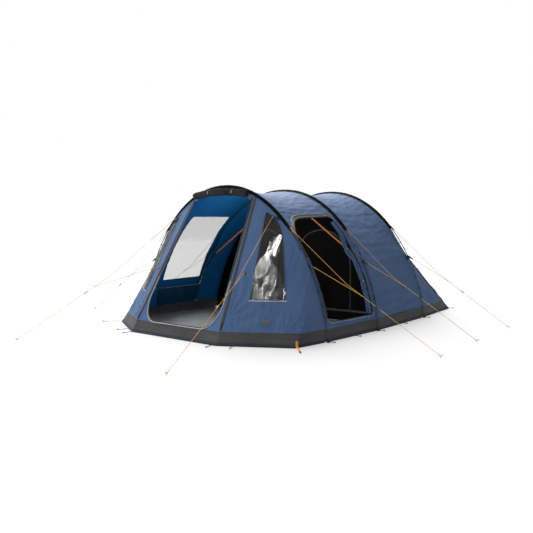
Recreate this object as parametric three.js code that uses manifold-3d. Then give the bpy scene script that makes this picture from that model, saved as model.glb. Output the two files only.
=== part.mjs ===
// A pitched tunnel tent on three hoop poles, with a sloping front bay, a side door,
// a dark bedroom behind, and eight guy lines. Millimetres, +Z up, front door towards -Y.
import * as THREE from 'three';
import { mergeVertices } from 'three/addons/utils/BufferGeometryUtils.js';
import Module from 'manifold-3d';

const wasm = await Module();
wasm.setup();

// ---------------------------------------------------------------- driving dimensions

// The three hoops, from the front to the back. Lean is how far the top sits behind the feet.
const POLES = {
  front: { halfWidth: 1650, height: 1915, footY: 0, lean: 0 },
  middle: { halfWidth: 1727, height: 1926, footY: 1100, lean: 0.089 },
  rear: { halfWidth: 1715, height: 1965, footY: 2590, lean: 0 },
};
const HOOP_WIDTH_POWER = 0.958;
const HOOP_HEIGHT_POWER = 1.267;
const POLE_RADIUS = 6.25;
const POLE_REACH = 0.9885;
const CUP = { radius: 14.5, bore: 11.2, height: 38, floor: 6 };
const SLEEVE_BORE = 8;
const SLEEVE_RADIUS = 12;

// Places along a hoop, from 0 at its top to 1 at its foot.
const SLEEVE_END = 0.462;
const CLIP_TAB = 0.626;
const SKIRT_TOP = 0.9137;
const SIDE_DOOR_SILL = 0.886;
const HOOP_FOOT = 0.999;

// Ground outline of the front bay and of the back.
const BAY_FRONT = { x: 758, y: -966 };
const BAY_CORNER = { x: 1570, y: -514 };
const REAR_CORNER = { x: 1609, y: 3863 };
const SEAM_ON_HOOP = 0.2115;
const REAR_CORNER_ON_HOOP = 0.52;

// Cloth.
const CLOTH = 3;
const SKIRT_HEIGHT = 150;
const PANEL_GAP = 3;
const HOOP_GAP = 4;
const CLOTH_INSET = 18;
const LOWER_INSET = 22;
const CLOTH_GATHER = 45;
const INNER_INSET = 110;
const BEDROOM_Y = 1560;

// Where the sewn panels of the end walls stop, as stations: 0 in the middle, 1 at a hoop's foot.
const BAY_STATION = 0.42;
const BAY_PANEL_END = 0.925;
const REAR_STATION = 0.45;
const REAR_PANEL_END = 0.885;
const WALL_END = 0.985;
const SEAM_GAP = 0.004;

// Openings. The front door's edge is a share of the way from the middle to the seam.
const FRONT_DOOR_EDGE = 0.9;
const FRONT_DOOR_SILL = 170;
const FRONT_DOOR_CORNER = 460;
const FRONT_DOOR_TOP = 1740;
const FRONT_DOOR_LINTEL = 78;
const SEAM_HALF_WIDTH = 520;
const CUTTER_DEPTH = 2000;
const PANE_GAP = 1;

// The rolled doors: each roll's radius, and how far the side roll stands in from the cloth.
const FRONT_ROLL_RADIUS = 32;
const SIDE_ROLL_RADIUS = 26;
const SIDE_ROLL_INSET = 34;
const SIDE_ROLL_ALONG = 0.9;

// Zip sliders and their pull tabs.
const SLIDER = { length: 16, wall: 2, engagement: 6, clearance: 1.3 };
const PULL_TAB = { width: 7, length: 34, thickness: 2.2, stand: 2.9, drop: 15 };
const FRONT_ZIP_REST = 560;
const SIDE_ZIP_REST = 0.84;

// Guy lines and pegs.
const CORD_RADIUS = 2;
const CORD_SIDES = 8;
const PEG_X = 3000;
const PEG_HEIGHT = 34;
const PEG_WIRE = 3;
const PEG_TIE_HEIGHT = 17;
const PEG_STAND_OFF = 6;
const TIE_STAND_OFF = 16;
const BRANCH_END = 0.18;
const RUNNER_PLACE = 0.36;
const BOW_RUNNER_PLACE = 0.28;
const RUNNER = { length: 52, width: 18, thickness: 9, bore: 3, chamfer: 3 };
const SIDE_GUYS = {
  front: { meet: [1880, 15, 711], pegY: 47 },
  middle: { meet: [1872, 1178, 727], pegY: 1145 },
  rear: { meet: [1960, 2514, 690], pegY: 2397 },
};
const BOW_GUY = {
  upper: [880, -75, 1490],
  lower: [790, -500, 826],
  meet: [1102, -1040, 716],
  peg: [1331, -2218, 0],
};

const COLOURS = {
  cloth: [0.11, 0.17, 0.28, 0.8, 0],
  skirt: [0.07, 0.07, 0.075, 0.85, 0],
  dark: [0.02, 0.022, 0.026, 0.85, 0],
  floor: [0.06, 0.06, 0.065, 0.7, 0],
  window: [0.62, 0.64, 0.66, 0.15, 0],
  pole: [0.03, 0.03, 0.035, 0.4, 0],
  cord: [0.75, 0.5, 0.16, 0.8, 0],
  strap: [0.55, 0.2, 0.06, 0.8, 0],
  metal: [0.35, 0.35, 0.36, 0.35, 0.9],
  plastic: [0.03, 0.03, 0.035, 0.45, 0],
};

const tent = new THREE.Group();

// ---------------------------------------------------------------- small helpers

const range = (count) => Array.from({ length: count + 1 }, (_, i) => i / count);
const between = (low, high, count) => range(count).map((f) => low + (high - low) * f);
const mix = (a, b, f) => a + (b - a) * f;
const clamp = (value, low, high) => Math.min(Math.max(value, low), high);
const vector = (x, y, z) => new THREE.Vector3(x, y, z);
const X = vector(1, 0, 0);
const Y = vector(0, 1, 0);
const Z = vector(0, 0, 1);

function add(name, geometry, look) {
  const [r, g, b, roughness, metalness] = COLOURS[look];
  const material = new THREE.MeshStandardMaterial({ roughness, metalness });
  material.color.setRGB(r, g, b);
  const mesh = new THREE.Mesh(geometry, material);
  mesh.name = name;
  tent.add(mesh);
  return mesh;
}

function bare(geometry) {
  const copy = geometry.clone();
  copy.deleteAttribute('normal');
  copy.deleteAttribute('uv');
  return mergeVertices(copy, 1e-3);
}

function signedVolume(geometry) {
  const at = geometry.attributes.position;
  const index = geometry.index;
  const corner = (i) => new THREE.Vector3().fromBufferAttribute(at, index.getX(i));
  let volume = 0;
  for (let i = 0; i < index.count; i += 3) {
    volume += corner(i).dot(corner(i + 1).cross(corner(i + 2)));
  }
  return volume;
}

// Merges shared vertices and turns every face outwards.
function closedBody(geometry) {
  const body = bare(geometry);
  if (signedVolume(body) < 0) {
    const index = body.index;
    for (let i = 0; i < index.count; i += 3) {
      const second = index.getX(i + 1);
      index.setX(i + 1, index.getX(i + 2));
      index.setX(i + 2, second);
    }
  }
  return body;
}

function solidOf(geometry) {
  const body = closedBody(geometry);
  const vertProperties = new Float32Array(body.attributes.position.array);
  const triVerts = new Uint32Array(body.index.array);
  return new wasm.Manifold(new wasm.Mesh({ numProp: 3, vertProperties, triVerts }));
}

function geometryOf(solid) {
  const mesh = solid.getMesh();
  const geometry = new THREE.BufferGeometry();
  geometry.setAttribute('position', new THREE.BufferAttribute(mesh.vertProperties, 3));
  geometry.setIndex(new THREE.BufferAttribute(mesh.triVerts, 1));
  return geometry;
}

const cut = (body, tool) => geometryOf(solidOf(body).subtract(solidOf(tool)));
const common = (body, tool) => geometryOf(solidOf(body).intersect(solidOf(tool)));
const join = (body, other) => geometryOf(solidOf(body).add(solidOf(other)));

function mirrored(geometry) {
  const copy = geometry.clone();
  copy.scale(-1, 1, 1);
  return closedBody(copy);
}

// A thin closed sheet over a grid of mid-surface points, never lower than the ground.
function sheet(point, us, vs, thickness = CLOTH) {
  const grid = us.map((u) => vs.map((v) => point(u, v)));
  const last = (list) => list.length - 1;
  const rows = us.length;
  const columns = vs.length;
  const positions = [];
  for (const side of [0.5, -0.5]) {
    for (let i = 0; i < rows; i += 1) {
      for (let j = 0; j < columns; j += 1) {
        const along = grid[Math.min(i + 1, last(us))][j].clone().sub(grid[Math.max(i - 1, 0)][j]);
        const across = grid[i][Math.min(j + 1, last(vs))].clone().sub(grid[i][Math.max(j - 1, 0)]);
        const normal = along.cross(across).normalize();
        const p = grid[i][j].clone().addScaledVector(normal, side * thickness);
        positions.push(p.x, p.y, Math.max(p.z, 0));
      }
    }
  }
  const at = (face, i, j) => face * rows * columns + i * columns + j;
  const indices = [];
  const quad = (a, b, c, d) => indices.push(a, b, c, a, c, d);
  for (let i = 0; i + 1 < rows; i += 1) {
    for (let j = 0; j + 1 < columns; j += 1) {
      quad(at(0, i, j), at(0, i + 1, j), at(0, i + 1, j + 1), at(0, i, j + 1));
      quad(at(1, i, j), at(1, i, j + 1), at(1, i + 1, j + 1), at(1, i + 1, j));
    }
    quad(at(0, i + 1, 0), at(0, i, 0), at(1, i, 0), at(1, i + 1, 0));
    quad(at(0, i, columns - 1), at(0, i + 1, columns - 1), at(1, i + 1, columns - 1),
      at(1, i, columns - 1));
  }
  for (let j = 0; j + 1 < columns; j += 1) {
    quad(at(0, 0, j), at(0, 0, j + 1), at(1, 0, j + 1), at(1, 0, j));
    quad(at(0, rows - 1, j + 1), at(0, rows - 1, j), at(1, rows - 1, j), at(1, rows - 1, j + 1));
  }
  const geometry = new THREE.BufferGeometry();
  geometry.setAttribute('position', new THREE.Float32BufferAttribute(positions, 3));
  geometry.setIndex(indices);
  return closedBody(geometry);
}

// A flat outline pushed along +Z of the frame that three direction vectors give.
function prism(points, depth, origin, xAxis, yAxis, zAxis) {
  const shape = new THREE.Shape(points.map(([x, y]) => new THREE.Vector2(x, y)));
  const geometry = new THREE.ExtrudeGeometry(shape, { depth, bevelEnabled: false });
  const frame = new THREE.Matrix4().makeBasis(xAxis, yAxis, zAxis).setPosition(origin);
  geometry.applyMatrix4(frame);
  return closedBody(geometry);
}

function ringShape(outer, bore, sides) {
  const circle = (radius) => range(sides).slice(0, sides).map((f) => new THREE.Vector2(
    radius * Math.cos(2 * Math.PI * f), radius * Math.sin(2 * Math.PI * f)));
  const shape = new THREE.Shape(circle(outer));
  if (bore > 0) shape.holes.push(new THREE.Path(circle(bore)));
  return shape;
}

function tube(path, radius, steps, sides = CORD_SIDES, bore = 0) {
  const options = { steps, bevelEnabled: false, extrudePath: path };
  return closedBody(new THREE.ExtrudeGeometry(ringShape(radius, bore, sides), options));
}

const smoothPath = (points) => new THREE.CatmullRomCurve3(points, false, 'centripetal');

// ---------------------------------------------------------------- hoops and cloth surfaces

// A point on a hoop: place runs from -1 at the left foot through 0 at the top to 1 at the right.
function hoopPoint(pole, place, inset = 0) {
  const raw = (where) => {
    const angle = Math.min(Math.abs(where), 1) * Math.PI / 2;
    const x = Math.sign(where) * pole.halfWidth * Math.sin(angle) ** HOOP_WIDTH_POWER;
    return [x, pole.height * Math.cos(angle) ** HOOP_HEIGHT_POWER];
  };
  const [x, z] = raw(place);
  const step = 0.004;
  const [x0, z0] = raw(clamp(place - step, -1, 1));
  const [x1, z1] = raw(clamp(place + step, -1, 1));
  const length = Math.hypot(x1 - x0, z1 - z0);
  const height = z - inset * (x1 - x0) / length;
  return vector(x + inset * (z1 - z0) / length, pole.footY + pole.lean * z, height);
}

// The cloth lies just inside the hoops, and further in where it hangs free below a sleeve.
function clothInset(place) {
  const free = (Math.abs(place) - SLEEVE_END) / (CLIP_TAB - SLEEVE_END);
  if (free <= 0) return CLOTH_INSET;
  if (free >= 1) return LOWER_INSET;
  return mix(CLOTH_INSET, LOWER_INSET, free) + CLOTH_GATHER * Math.sin(Math.PI * free) ** 2;
}

const clothHoop = (pole, place) => hoopPoint(pole, place, clothInset(place));

function tunnelPoint(front, back, place, along) {
  const start = clothHoop(front, place);
  const end = clothHoop(back, place);
  const length = end.y - start.y;
  return start.lerp(end, mix(HOOP_GAP / length, 1 - HOOP_GAP / length, along));
}

// The sloping end walls are ruled between a hoop and an outline on the ground. Station s runs
// from -1 at the left foot to 1 at the right. The flat end face reaches out to faceStation, and
// the turns are the ground outline's further corners, from there to the hoop's foot.
function endWall(pole, corner, facePlace, turns, faceStation, away) {
  const legs = turns.map((p, i) => Math.hypot(
    p.x - (i ? turns[i - 1] : corner).x, p.y - (i ? turns[i - 1] : corner).y));
  const total = legs.reduce((sum, leg) => sum + leg, 0);
  const onGround = (fraction) => {
    let left = fraction * total;
    let from = corner;
    for (const [i, to] of turns.entries()) {
      if (left <= legs[i] || i === turns.length - 1) {
        const f = left / legs[i];
        return [mix(from.x, to.x, f), mix(from.y, to.y, f)];
      }
      left -= legs[i];
      from = to;
    }
    return [corner.x, corner.y];
  };
  return (station, inset = 0) => {
    const side = Math.sign(station) || 1;
    const size = Math.abs(station);
    const onFace = size <= faceStation;
    const fraction = onFace ? 0 : (size - faceStation) / (1 - faceStation);
    const place = onFace ? facePlace * size / faceStation : mix(facePlace, 1, fraction);
    const [gx, gy] = onFace ? [corner.x * size / faceStation, corner.y] : onGround(fraction);
    const pull = onFace ? inset * size / faceStation : LOWER_INSET * fraction + inset;
    const top = hoopPoint(pole, side * Math.min(place, HOOP_FOOT), clothInset(place) + inset);
    top.y += away * HOOP_GAP;
    const ground = vector(side * (gx - pull), gy - away * inset * (1 - fraction), 0);
    return { top, ground };
  };
}

const footOf = (pole) => ({ x: pole.halfWidth, y: pole.footY });
const spanOf = (from, to) => Math.hypot(to.x - from.x, to.y - from.y);
const longLeg = spanOf(BAY_FRONT, BAY_CORNER);
const shortLeg = spanOf(BAY_CORNER, footOf(POLES.front));
const BAY_TURN = mix(BAY_STATION, 1, longLeg / (longLeg + shortLeg));
const baySide = (first, last) => [...between(first, BAY_TURN, 4),
  ...between(BAY_TURN, last, 4).slice(1)];
const bayWall = endWall(POLES.front, BAY_FRONT, SEAM_ON_HOOP,
  [BAY_CORNER, footOf(POLES.front)], BAY_STATION, -1);
const rearWall = endWall(POLES.rear, REAR_CORNER, REAR_CORNER_ON_HOOP,
  [footOf(POLES.rear)], REAR_STATION, 1);

// A point on an end wall at a height in millimetres.
function atHeight(wall, station, height, inset = 0) {
  const { top, ground } = wall(station, inset);
  return ground.clone().lerp(top, clamp(height / top.z, 0, 1));
}

// A point between the skirt and the hoop: 0 just above the skirt, 1 at the hoop.
function aboveSkirt(wall, station, fraction) {
  const { top } = wall(station);
  return atHeight(wall, station, mix(SKIRT_HEIGHT + PANEL_GAP, top.z, fraction));
}

// ---------------------------------------------------------------- poles, sleeves and feet

class Hoop extends THREE.Curve {
  constructor(pole, reach) {
    super();
    this.pole = pole;
    this.reach = reach;
  }

  getPoint(t) {
    return hoopPoint(this.pole, mix(-this.reach, this.reach, t));
  }
}

function buildPoles() {
  const { radius, bore, height, floor } = CUP;
  const cup = [[0, 0], [radius, 0], [radius, height], [bore, height], [bore, floor], [0, floor]];
  const profile = cup.map(([x, y]) => new THREE.Vector2(x, y));
  for (const [name, pole] of Object.entries(POLES)) {
    const sleeve = new Hoop(pole, SLEEVE_END);
    add(`pole_${name}`, tube(new Hoop(pole, POLE_REACH), POLE_RADIUS, 30), 'pole');
    add(`sleeve_${name}`, tube(sleeve, SLEEVE_RADIUS, 14, CORD_SIDES, SLEEVE_BORE), 'dark');
    for (const [side, sign] of [['right', 1], ['left', -1]]) {
      const foot = new THREE.LatheGeometry(profile, 12);
      foot.rotateX(Math.PI / 2);
      foot.translate(sign * (pole.halfWidth - 1), pole.footY, 0);
      add(`foot_${name}_${side}`, closedBody(foot), 'metal');
    }
  }
}

// ---------------------------------------------------------------- outer cloth

// The front doorway: straight sides along the wall's own rulings, a round-cornered sill.
function frontDoorway() {
  const edge = (height) => atHeight(bayWall, FRONT_DOOR_EDGE * BAY_STATION, height).x;
  const top = edge(FRONT_DOOR_TOP);
  const lintel = (x) => hoopPoint(POLES.front, SEAM_ON_HOOP * x / SEAM_HALF_WIDTH).z
    - FRONT_DOOR_LINTEL;
  const right = [];
  for (const x of between(0, top - 10, 4)) right.push([x, lintel(x)]);
  right.push([top, FRONT_DOOR_TOP], [edge(FRONT_DOOR_CORNER), FRONT_DOOR_CORNER]);
  const corner = { x: 400, rise: FRONT_DOOR_CORNER - FRONT_DOOR_SILL };
  const reach = edge(FRONT_DOOR_CORNER) - corner.x;
  for (const f of range(6).slice(1)) {
    const angle = f * Math.PI / 2;
    const z = FRONT_DOOR_CORNER - corner.rise * Math.sin(angle);
    right.push([corner.x + reach * Math.cos(angle), z]);
  }
  const left = right.slice(1).reverse().map(([x, z]) => [-x, z]);
  return prism([...right, ...left], CUTTER_DEPTH, vector(0, -1500, 0), X.clone().negate(), Z, Y);
}

function buildFrontBay() {
  const edge = BAY_STATION - SEAM_GAP;
  const zip = FRONT_DOOR_EDGE * BAY_STATION;
  const face = [-edge, -zip, ...between(-0.35, 0.35, 6), zip, edge];
  const rise = between(0, 1, 10);
  const facePanel = sheet((s, f) => aboveSkirt(bayWall, s, f), face, rise);
  add('front_door_panel', cut(facePanel, frontDoorway()), 'cloth');

  const side = baySide(BAY_STATION + SEAM_GAP, BAY_PANEL_END);
  const sidePanel = sheet((s, f) => aboveSkirt(bayWall, s, f), side, rise);
  const along = vector(BAY_CORNER.x - BAY_FRONT.x, BAY_CORNER.y - BAY_FRONT.y, 0).normalize();
  const out = vector(along.y, -along.x, 0);
  const origin = vector(BAY_FRONT.x, BAY_FRONT.y, 0).addScaledVector(out, -1200);
  const windowShape = (gap) => [
    [341 + gap, 504 + gap], [763 - gap, 504 + gap], [690 - gap, 1196], [661 - gap, 1331 - gap],
    [610 - gap, 1430 - gap], [540, 1505 - gap], [452 + gap, 1558 - gap], [436 + gap, 1500],
  ];
  const hole = prism(windowShape(0), CUTTER_DEPTH, origin, along, Z, out);
  const pane = prism(windowShape(PANE_GAP), CUTTER_DEPTH, origin, along, Z, out);
  const panel = cut(sidePanel, hole);
  const window = common(sidePanel, pane);
  add('bay_panel_right', panel, 'cloth');
  add('bay_panel_left', mirrored(panel), 'cloth');
  add('bay_window_right', window, 'window');
  add('bay_window_left', mirrored(window), 'window');
}

function buildLivingFly() {
  const upper = between(-SIDE_DOOR_SILL, SIDE_DOOR_SILL, 22);
  const places = [-SKIRT_TOP, ...upper, SKIRT_TOP];
  const point = (place, along) => tunnelPoint(POLES.front, POLES.middle, place, along);
  const fly = sheet(point, places, between(0, 1, 3));
  const sill = hoopPoint(POLES.front, SIDE_DOOR_SILL, LOWER_INSET).z;
  const doorway = [
    [66, 270], [80, sill + 14], [140, sill], [1010, sill], [1050, sill + 14], [1064, 270],
    [1132, 1470], [1120, 1500], [1080, 1515], [460, 1485], [330, 1465], [210, 1420], [110, 1340],
    [74, 1260],
  ];
  const door = prism(doorway, CUTTER_DEPTH, vector(400, 0, 0), Y, Z, X);
  const pane = (gap) => [
    [240 + gap, 550 + gap], [1100 - gap, 560 + gap], [1096 - gap, 1000], [1130 - gap, 1545 - gap],
    [280 + gap, 1530 - gap],
  ];
  const leftSide = vector(-2400, 0, 0);
  const hole = prism(pane(0), CUTTER_DEPTH, leftSide, Y, Z, X);
  const glazing = prism(pane(PANE_GAP), CUTTER_DEPTH, leftSide, Y, Z, X);
  add('living_fly', cut(cut(fly, door), hole), 'cloth');
  add('living_window', common(fly, glazing), 'window');
}

function buildBedroomFly() {
  const places = between(-SKIRT_TOP, SKIRT_TOP, 24);
  const point = (place, along) => tunnelPoint(POLES.middle, POLES.rear, place, along);
  add('bedroom_fly', sheet(point, places, between(0, 1, 3)), 'cloth');
  const flank = between(REAR_STATION, REAR_PANEL_END, 6);
  const face = between(-REAR_STATION, REAR_STATION, 8).slice(1, -1);
  const stations = [...flank.map((s) => -s).reverse(), ...face, ...flank];
  add('rear_fly', sheet((s, f) => aboveSkirt(rearWall, s, f), stations, between(0, 1, 4)), 'cloth');
}

function buildSkirts() {
  const low = between(0, 1, 1);
  const band = (wall, stations) => sheet(
    (s, f) => atHeight(wall, s, f * Math.min(SKIRT_HEIGHT, wall(s).top.z)), stations, low);
  const bay = baySide(BAY_STATION, WALL_END);
  const face = between(-BAY_STATION, BAY_STATION, 6);
  const bayStations = [...bay.map((s) => -s).reverse(), ...face.slice(1, -1), ...bay];
  add('skirt_front', band(bayWall, bayStations), 'skirt');
  const rear = between(REAR_STATION, WALL_END, 4);
  const back = between(-REAR_STATION, REAR_STATION, 8);
  const rearStations = [...rear.map((s) => -s).reverse(), ...back.slice(1, -1), ...rear];
  add('skirt_rear', band(rearWall, rearStations), 'skirt');
  const hoops = [POLES.front, POLES.middle, POLES.rear];
  const end = 0.004;
  const side = sheet((place, along) => {
    const first = Math.min(Math.floor(along), 1);
    return clothHoop(hoops[first], place).lerp(clothHoop(hoops[first + 1], place), along - first);
  }, between(SKIRT_TOP + 0.0015, HOOP_FOOT, 2), [end, 1, 2 - end]);
  add('skirt_right', side, 'skirt');
  add('skirt_left', mirrored(side), 'skirt');
}

// ---------------------------------------------------------------- rolled doors

function buildRolledDoors() {
  const front = smoothPath([vector(-440, -78, 1795), vector(0, -80, 1822), vector(440, -78, 1795)]);
  add('rolled_front_door', tube(front, FRONT_ROLL_RADIUS, 8, 10), 'dark');
  const places = between(0.4, 0.87, 8);
  const hang = places.map((place) => {
    const inset = clothInset(place) + SIDE_ROLL_INSET;
    const start = hoopPoint(POLES.front, place, inset);
    return start.lerp(hoopPoint(POLES.middle, place, inset), SIDE_ROLL_ALONG);
  });
  add('rolled_side_door', tube(smoothPath(hang), SIDE_ROLL_RADIUS, 14, 10), 'cloth');
}

// ---------------------------------------------------------------- floor and bedroom

function buildInside() {
  const plate = (points, base) => prism(points, CLOTH, vector(0, 0, base), X, Y, Z);
  const margin = LOWER_INSET + 14;
  const inside = (pole, y = pole.footY) => [pole.halfWidth - margin, y];
  const right = [[BAY_FRONT.x - 20, BAY_FRONT.y + 16], [BAY_CORNER.x - margin, BAY_CORNER.y + 20],
    inside(POLES.front), inside(POLES.middle), inside(POLES.middle, BEDROOM_Y - HOOP_GAP)];
  const mirror = (points) => [...points].reverse().map(([x, y]) => [-x, y]);
  add('living_groundsheet', plate([...right, ...mirror(right)], 0), 'floor');
  const back = [[POLES.middle.halfWidth - INNER_INSET, BEDROOM_Y + HOOP_GAP],
    [POLES.rear.halfWidth - INNER_INSET, POLES.rear.footY],
    [REAR_CORNER.x - INNER_INSET, REAR_CORNER.y - INNER_INSET]];
  add('bedroom_groundsheet', plate([...back, ...mirror(back)], 0), 'floor');

  const clearance = 12;
  const frontHoop = { ...POLES.middle, lean: 0, footY: BEDROOM_Y };
  const wall = between(-WALL_END, WALL_END, 24).map((place) => {
    const p = hoopPoint(frontHoop, place, INNER_INSET);
    return [p.x, Math.max(p.z, clearance)];
  });
  const forward = Y.clone().negate();
  add('bedroom_front_wall', prism(wall, CLOTH, vector(0, BEDROOM_Y, 0), X, Z, forward), 'dark');

  const stationOf = (place) => {
    const size = Math.abs(place);
    const station = size <= REAR_CORNER_ON_HOOP ? REAR_STATION * size / REAR_CORNER_ON_HOOP
      : mix(REAR_STATION, 1, (size - REAR_CORNER_ON_HOOP) / (1 - REAR_CORNER_ON_HOOP));
    return Math.sign(place) * station;
  };
  const shellPoint = (place, along) => {
    const { top, ground } = rearWall(stationOf(place), INNER_INSET);
    ground.z = clearance;
    if (along > 1) return top.lerp(ground, along - 1);
    const start = hoopPoint(frontHoop, place, INNER_INSET);
    start.y += 2 * HOOP_GAP;
    const p = start.lerp(top, along);
    return vector(p.x, p.y, Math.max(p.z, clearance));
  };
  const rows = [0, 0.5, 1, 1.33, 1.67, 2];
  add('bedroom_shell', sheet(shellPoint, between(-0.975, 0.975, 26), rows), 'dark');
}

// Two flat straps under the middle hoop, from its sides up to its top.
function buildTensionStraps() {
  const low = vector(1345, 1240, 945);
  const high = vector(45, 1300, 1868);
  const reachAlong = high.clone().sub(low);
  const strap = new THREE.BoxGeometry(reachAlong.length(), 24, 2);
  const alongStrap = reachAlong.clone().normalize();
  const face = alongStrap.clone().cross(Y).normalize();
  const frame = new THREE.Matrix4().makeBasis(alongStrap, face.clone().cross(alongStrap), face);
  strap.applyMatrix4(frame.setPosition(low.clone().lerp(high, 0.5)));
  add('tension_strap_right', closedBody(strap), 'strap');
  add('tension_strap_left', mirrored(strap), 'strap');
}

// ---------------------------------------------------------------- zip sliders

// A slider straddles the edge of the cloth. Along runs on the edge and into points to the cloth.
function zipSlider(origin, along, into) {
  const out = along.clone().cross(into).normalize();
  const inward = out.clone().cross(along).normalize();
  const { length, wall, engagement: reach, clearance } = SLIDER;
  const half = CLOTH / 2 + clearance;
  const section = [
    [-half - wall, -half - wall], [reach, -half - wall], [reach, -half], [-half, -half],
    [-half, half], [reach, half], [reach, half + wall], [-half - wall, half + wall],
  ];
  const start = origin.clone().addScaledVector(along, -length / 2);
  return prism(section, length, start, inward, out, along);
}

// The pull tab stands off the slider's outer face and hangs towards the ground.
function pullTab(origin, along, into, down) {
  const out = along.clone().cross(into).normalize();
  const { width, length, thickness, stand, drop } = PULL_TAB;
  const tab = new THREE.BoxGeometry(width, length, thickness);
  const across = down.clone().cross(out).normalize();
  const up = down.clone().negate();
  const frame = new THREE.Matrix4().makeBasis(across, up, across.clone().cross(up).normalize());
  const centre = origin.clone().addScaledVector(out, CLOTH / 2 + SLIDER.clearance + stand)
    .addScaledVector(down, drop).addScaledVector(into, 1);
  tab.applyMatrix4(frame.setPosition(centre));
  return closedBody(tab);
}

function buildZipSliders() {
  const station = FRONT_DOOR_EDGE * BAY_STATION;
  const place = (height, which = station) => atHeight(bayWall, which, height);
  const start = place(FRONT_ZIP_REST);
  const along = place(1500).sub(start).normalize();
  const middle = 1050;
  const into = place(middle, station + 0.01).sub(place(middle)).normalize();
  const down = along.clone().negate();
  const slider = join(zipSlider(start, along, into), pullTab(start, along, into, down));
  add('front_zip_slider_right', slider, 'metal');
  add('front_zip_slider_left', mirrored(slider), 'metal');

  const sill = (f, where = SIDE_DOOR_SILL) => tunnelPoint(POLES.front, POLES.middle, where, f);
  const rest = sill(SIDE_ZIP_REST);
  const forward = sill(0.2).sub(rest).normalize();
  const below = sill(0.5, SIDE_DOOR_SILL + 0.01).sub(sill(0.5)).normalize();
  const outward = forward.clone().cross(below);
  const run = outward.x > 0 ? forward : forward.clone().negate();
  const side = join(zipSlider(rest, run, below), pullTab(rest, run, below, below));
  add('side_zip_slider', side, 'metal');
}

// ---------------------------------------------------------------- guy lines

// Each guy has an upper leg and a lower leg that meet, then one line to its peg.
function guyList() {
  const tie = (pole, place) => hoopPoint(pole, place, -TIE_STAND_OFF);
  const list = Object.entries(POLES).map(([name, pole]) => ({
    name,
    upper: tie(pole, SLEEVE_END + 0.012),
    lower: tie(pole, CLIP_TAB + 0.004),
    meet: vector(...SIDE_GUYS[name].meet),
    peg: vector(PEG_X, SIDE_GUYS[name].pegY, 0),
    runnerPlace: RUNNER_PLACE,
  }));
  const { upper, lower, meet, peg } = BOW_GUY;
  list.push({
    name: 'bow',
    upper: vector(...upper),
    lower: vector(...lower),
    meet: vector(...meet),
    peg: vector(...peg),
    runnerPlace: BOW_RUNNER_PLACE,
  });
  return list;
}

function pegGeometry(base, towards) {
  const out = base.clone().sub(towards).setZ(0).normalize();
  const at = (run, rise) => base.clone().addScaledVector(out, run).setZ(rise);
  const path = smoothPath([at(0, 0), at(0, 10), at(1, PEG_HEIGHT - 8), at(8, PEG_HEIGHT - 1),
    at(17, PEG_HEIGHT), at(25, PEG_HEIGHT - 5), at(27, PEG_HEIGHT - 13)]);
  const body = tube(path, PEG_WIRE, 8, 6);
  const positions = body.attributes.position;
  for (let i = 0; i < positions.count; i += 1) {
    if (positions.getZ(i) < 1) positions.setZ(i, 0);
  }
  return body;
}

function runnerGeometry(centre, direction) {
  const across = direction.clone().cross(Z).normalize();
  const up = across.clone().cross(direction).normalize();
  const { length, width, thickness, bore, chamfer } = RUNNER;
  const outline = new THREE.Shape([
    [-width / 2 + chamfer, -thickness / 2], [width / 2 - chamfer, -thickness / 2],
    [width / 2, 0], [width / 2 - chamfer, thickness / 2], [-width / 2 + chamfer, thickness / 2],
    [-width / 2, 0],
  ].map(([x, y]) => new THREE.Vector2(x, y)));
  outline.holes.push(new THREE.Path(range(8).slice(0, 8).map((f) => new THREE.Vector2(
    bore * Math.cos(2 * Math.PI * f), bore * Math.sin(2 * Math.PI * f)))));
  const block = new THREE.ExtrudeGeometry(outline, { depth: length, bevelEnabled: false });
  const start = centre.clone().addScaledVector(direction, -length / 2);
  block.applyMatrix4(new THREE.Matrix4().makeBasis(across, up, direction).setPosition(start));
  return closedBody(block);
}

function buildGuys() {
  for (const guy of guyList()) {
    const pegEnd = guy.peg.clone().setZ(PEG_TIE_HEIGHT);
    const direction = pegEnd.clone().sub(guy.meet).normalize();
    pegEnd.addScaledVector(direction, -PEG_STAND_OFF);
    const along = (f) => guy.meet.clone().lerp(pegEnd, f);
    const leg = (f) => guy.upper.clone().lerp(guy.meet, f);
    const main = smoothPath([guy.upper, leg(0.5), leg(0.9), guy.meet, along(0.06), along(0.35),
      along(0.7), pegEnd]);
    const branch = new THREE.LineCurve3(guy.lower, along(BRANCH_END));
    const line = join(tube(main, CORD_RADIUS, 14), tube(branch, CORD_RADIUS, 1));
    const runner = runnerGeometry(along(guy.runnerPlace), direction);
    const peg = pegGeometry(guy.peg, guy.meet);
    for (const side of ['right', 'left']) {
      const turn = side === 'right' ? (g) => g : mirrored;
      add(`guy_${guy.name}_${side}`, turn(line), 'cord');
      add(`runner_${guy.name}_${side}`, turn(runner), 'plastic');
      add(`peg_${guy.name}_${side}`, turn(peg), 'metal');
    }
  }
}

// ---------------------------------------------------------------- assembly

buildPoles();
buildFrontBay();
buildLivingFly();
buildBedroomFly();
buildSkirts();
buildRolledDoors();
buildInside();
buildTensionStraps();
buildZipSliders();
buildGuys();

// The origin is on the ground under the middle of the tent itself, without its guy lines.
const body = new THREE.Box3();
for (const mesh of tent.children) {
  if (!/^(guy|runner|peg)_/.test(mesh.name)) body.expandByObject(mesh);
}
tent.position.y = -(body.min.y + body.max.y) / 2;

export default tent;
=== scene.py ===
"""A pitched tunnel tent on three hoop poles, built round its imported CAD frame. Metres, +Z up."""

import math
from types import SimpleNamespace

import bmesh
import bpy
import numpy as np
from mathutils import Matrix, Vector, noise
from mathutils.bvhtree import BVHTree


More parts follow.
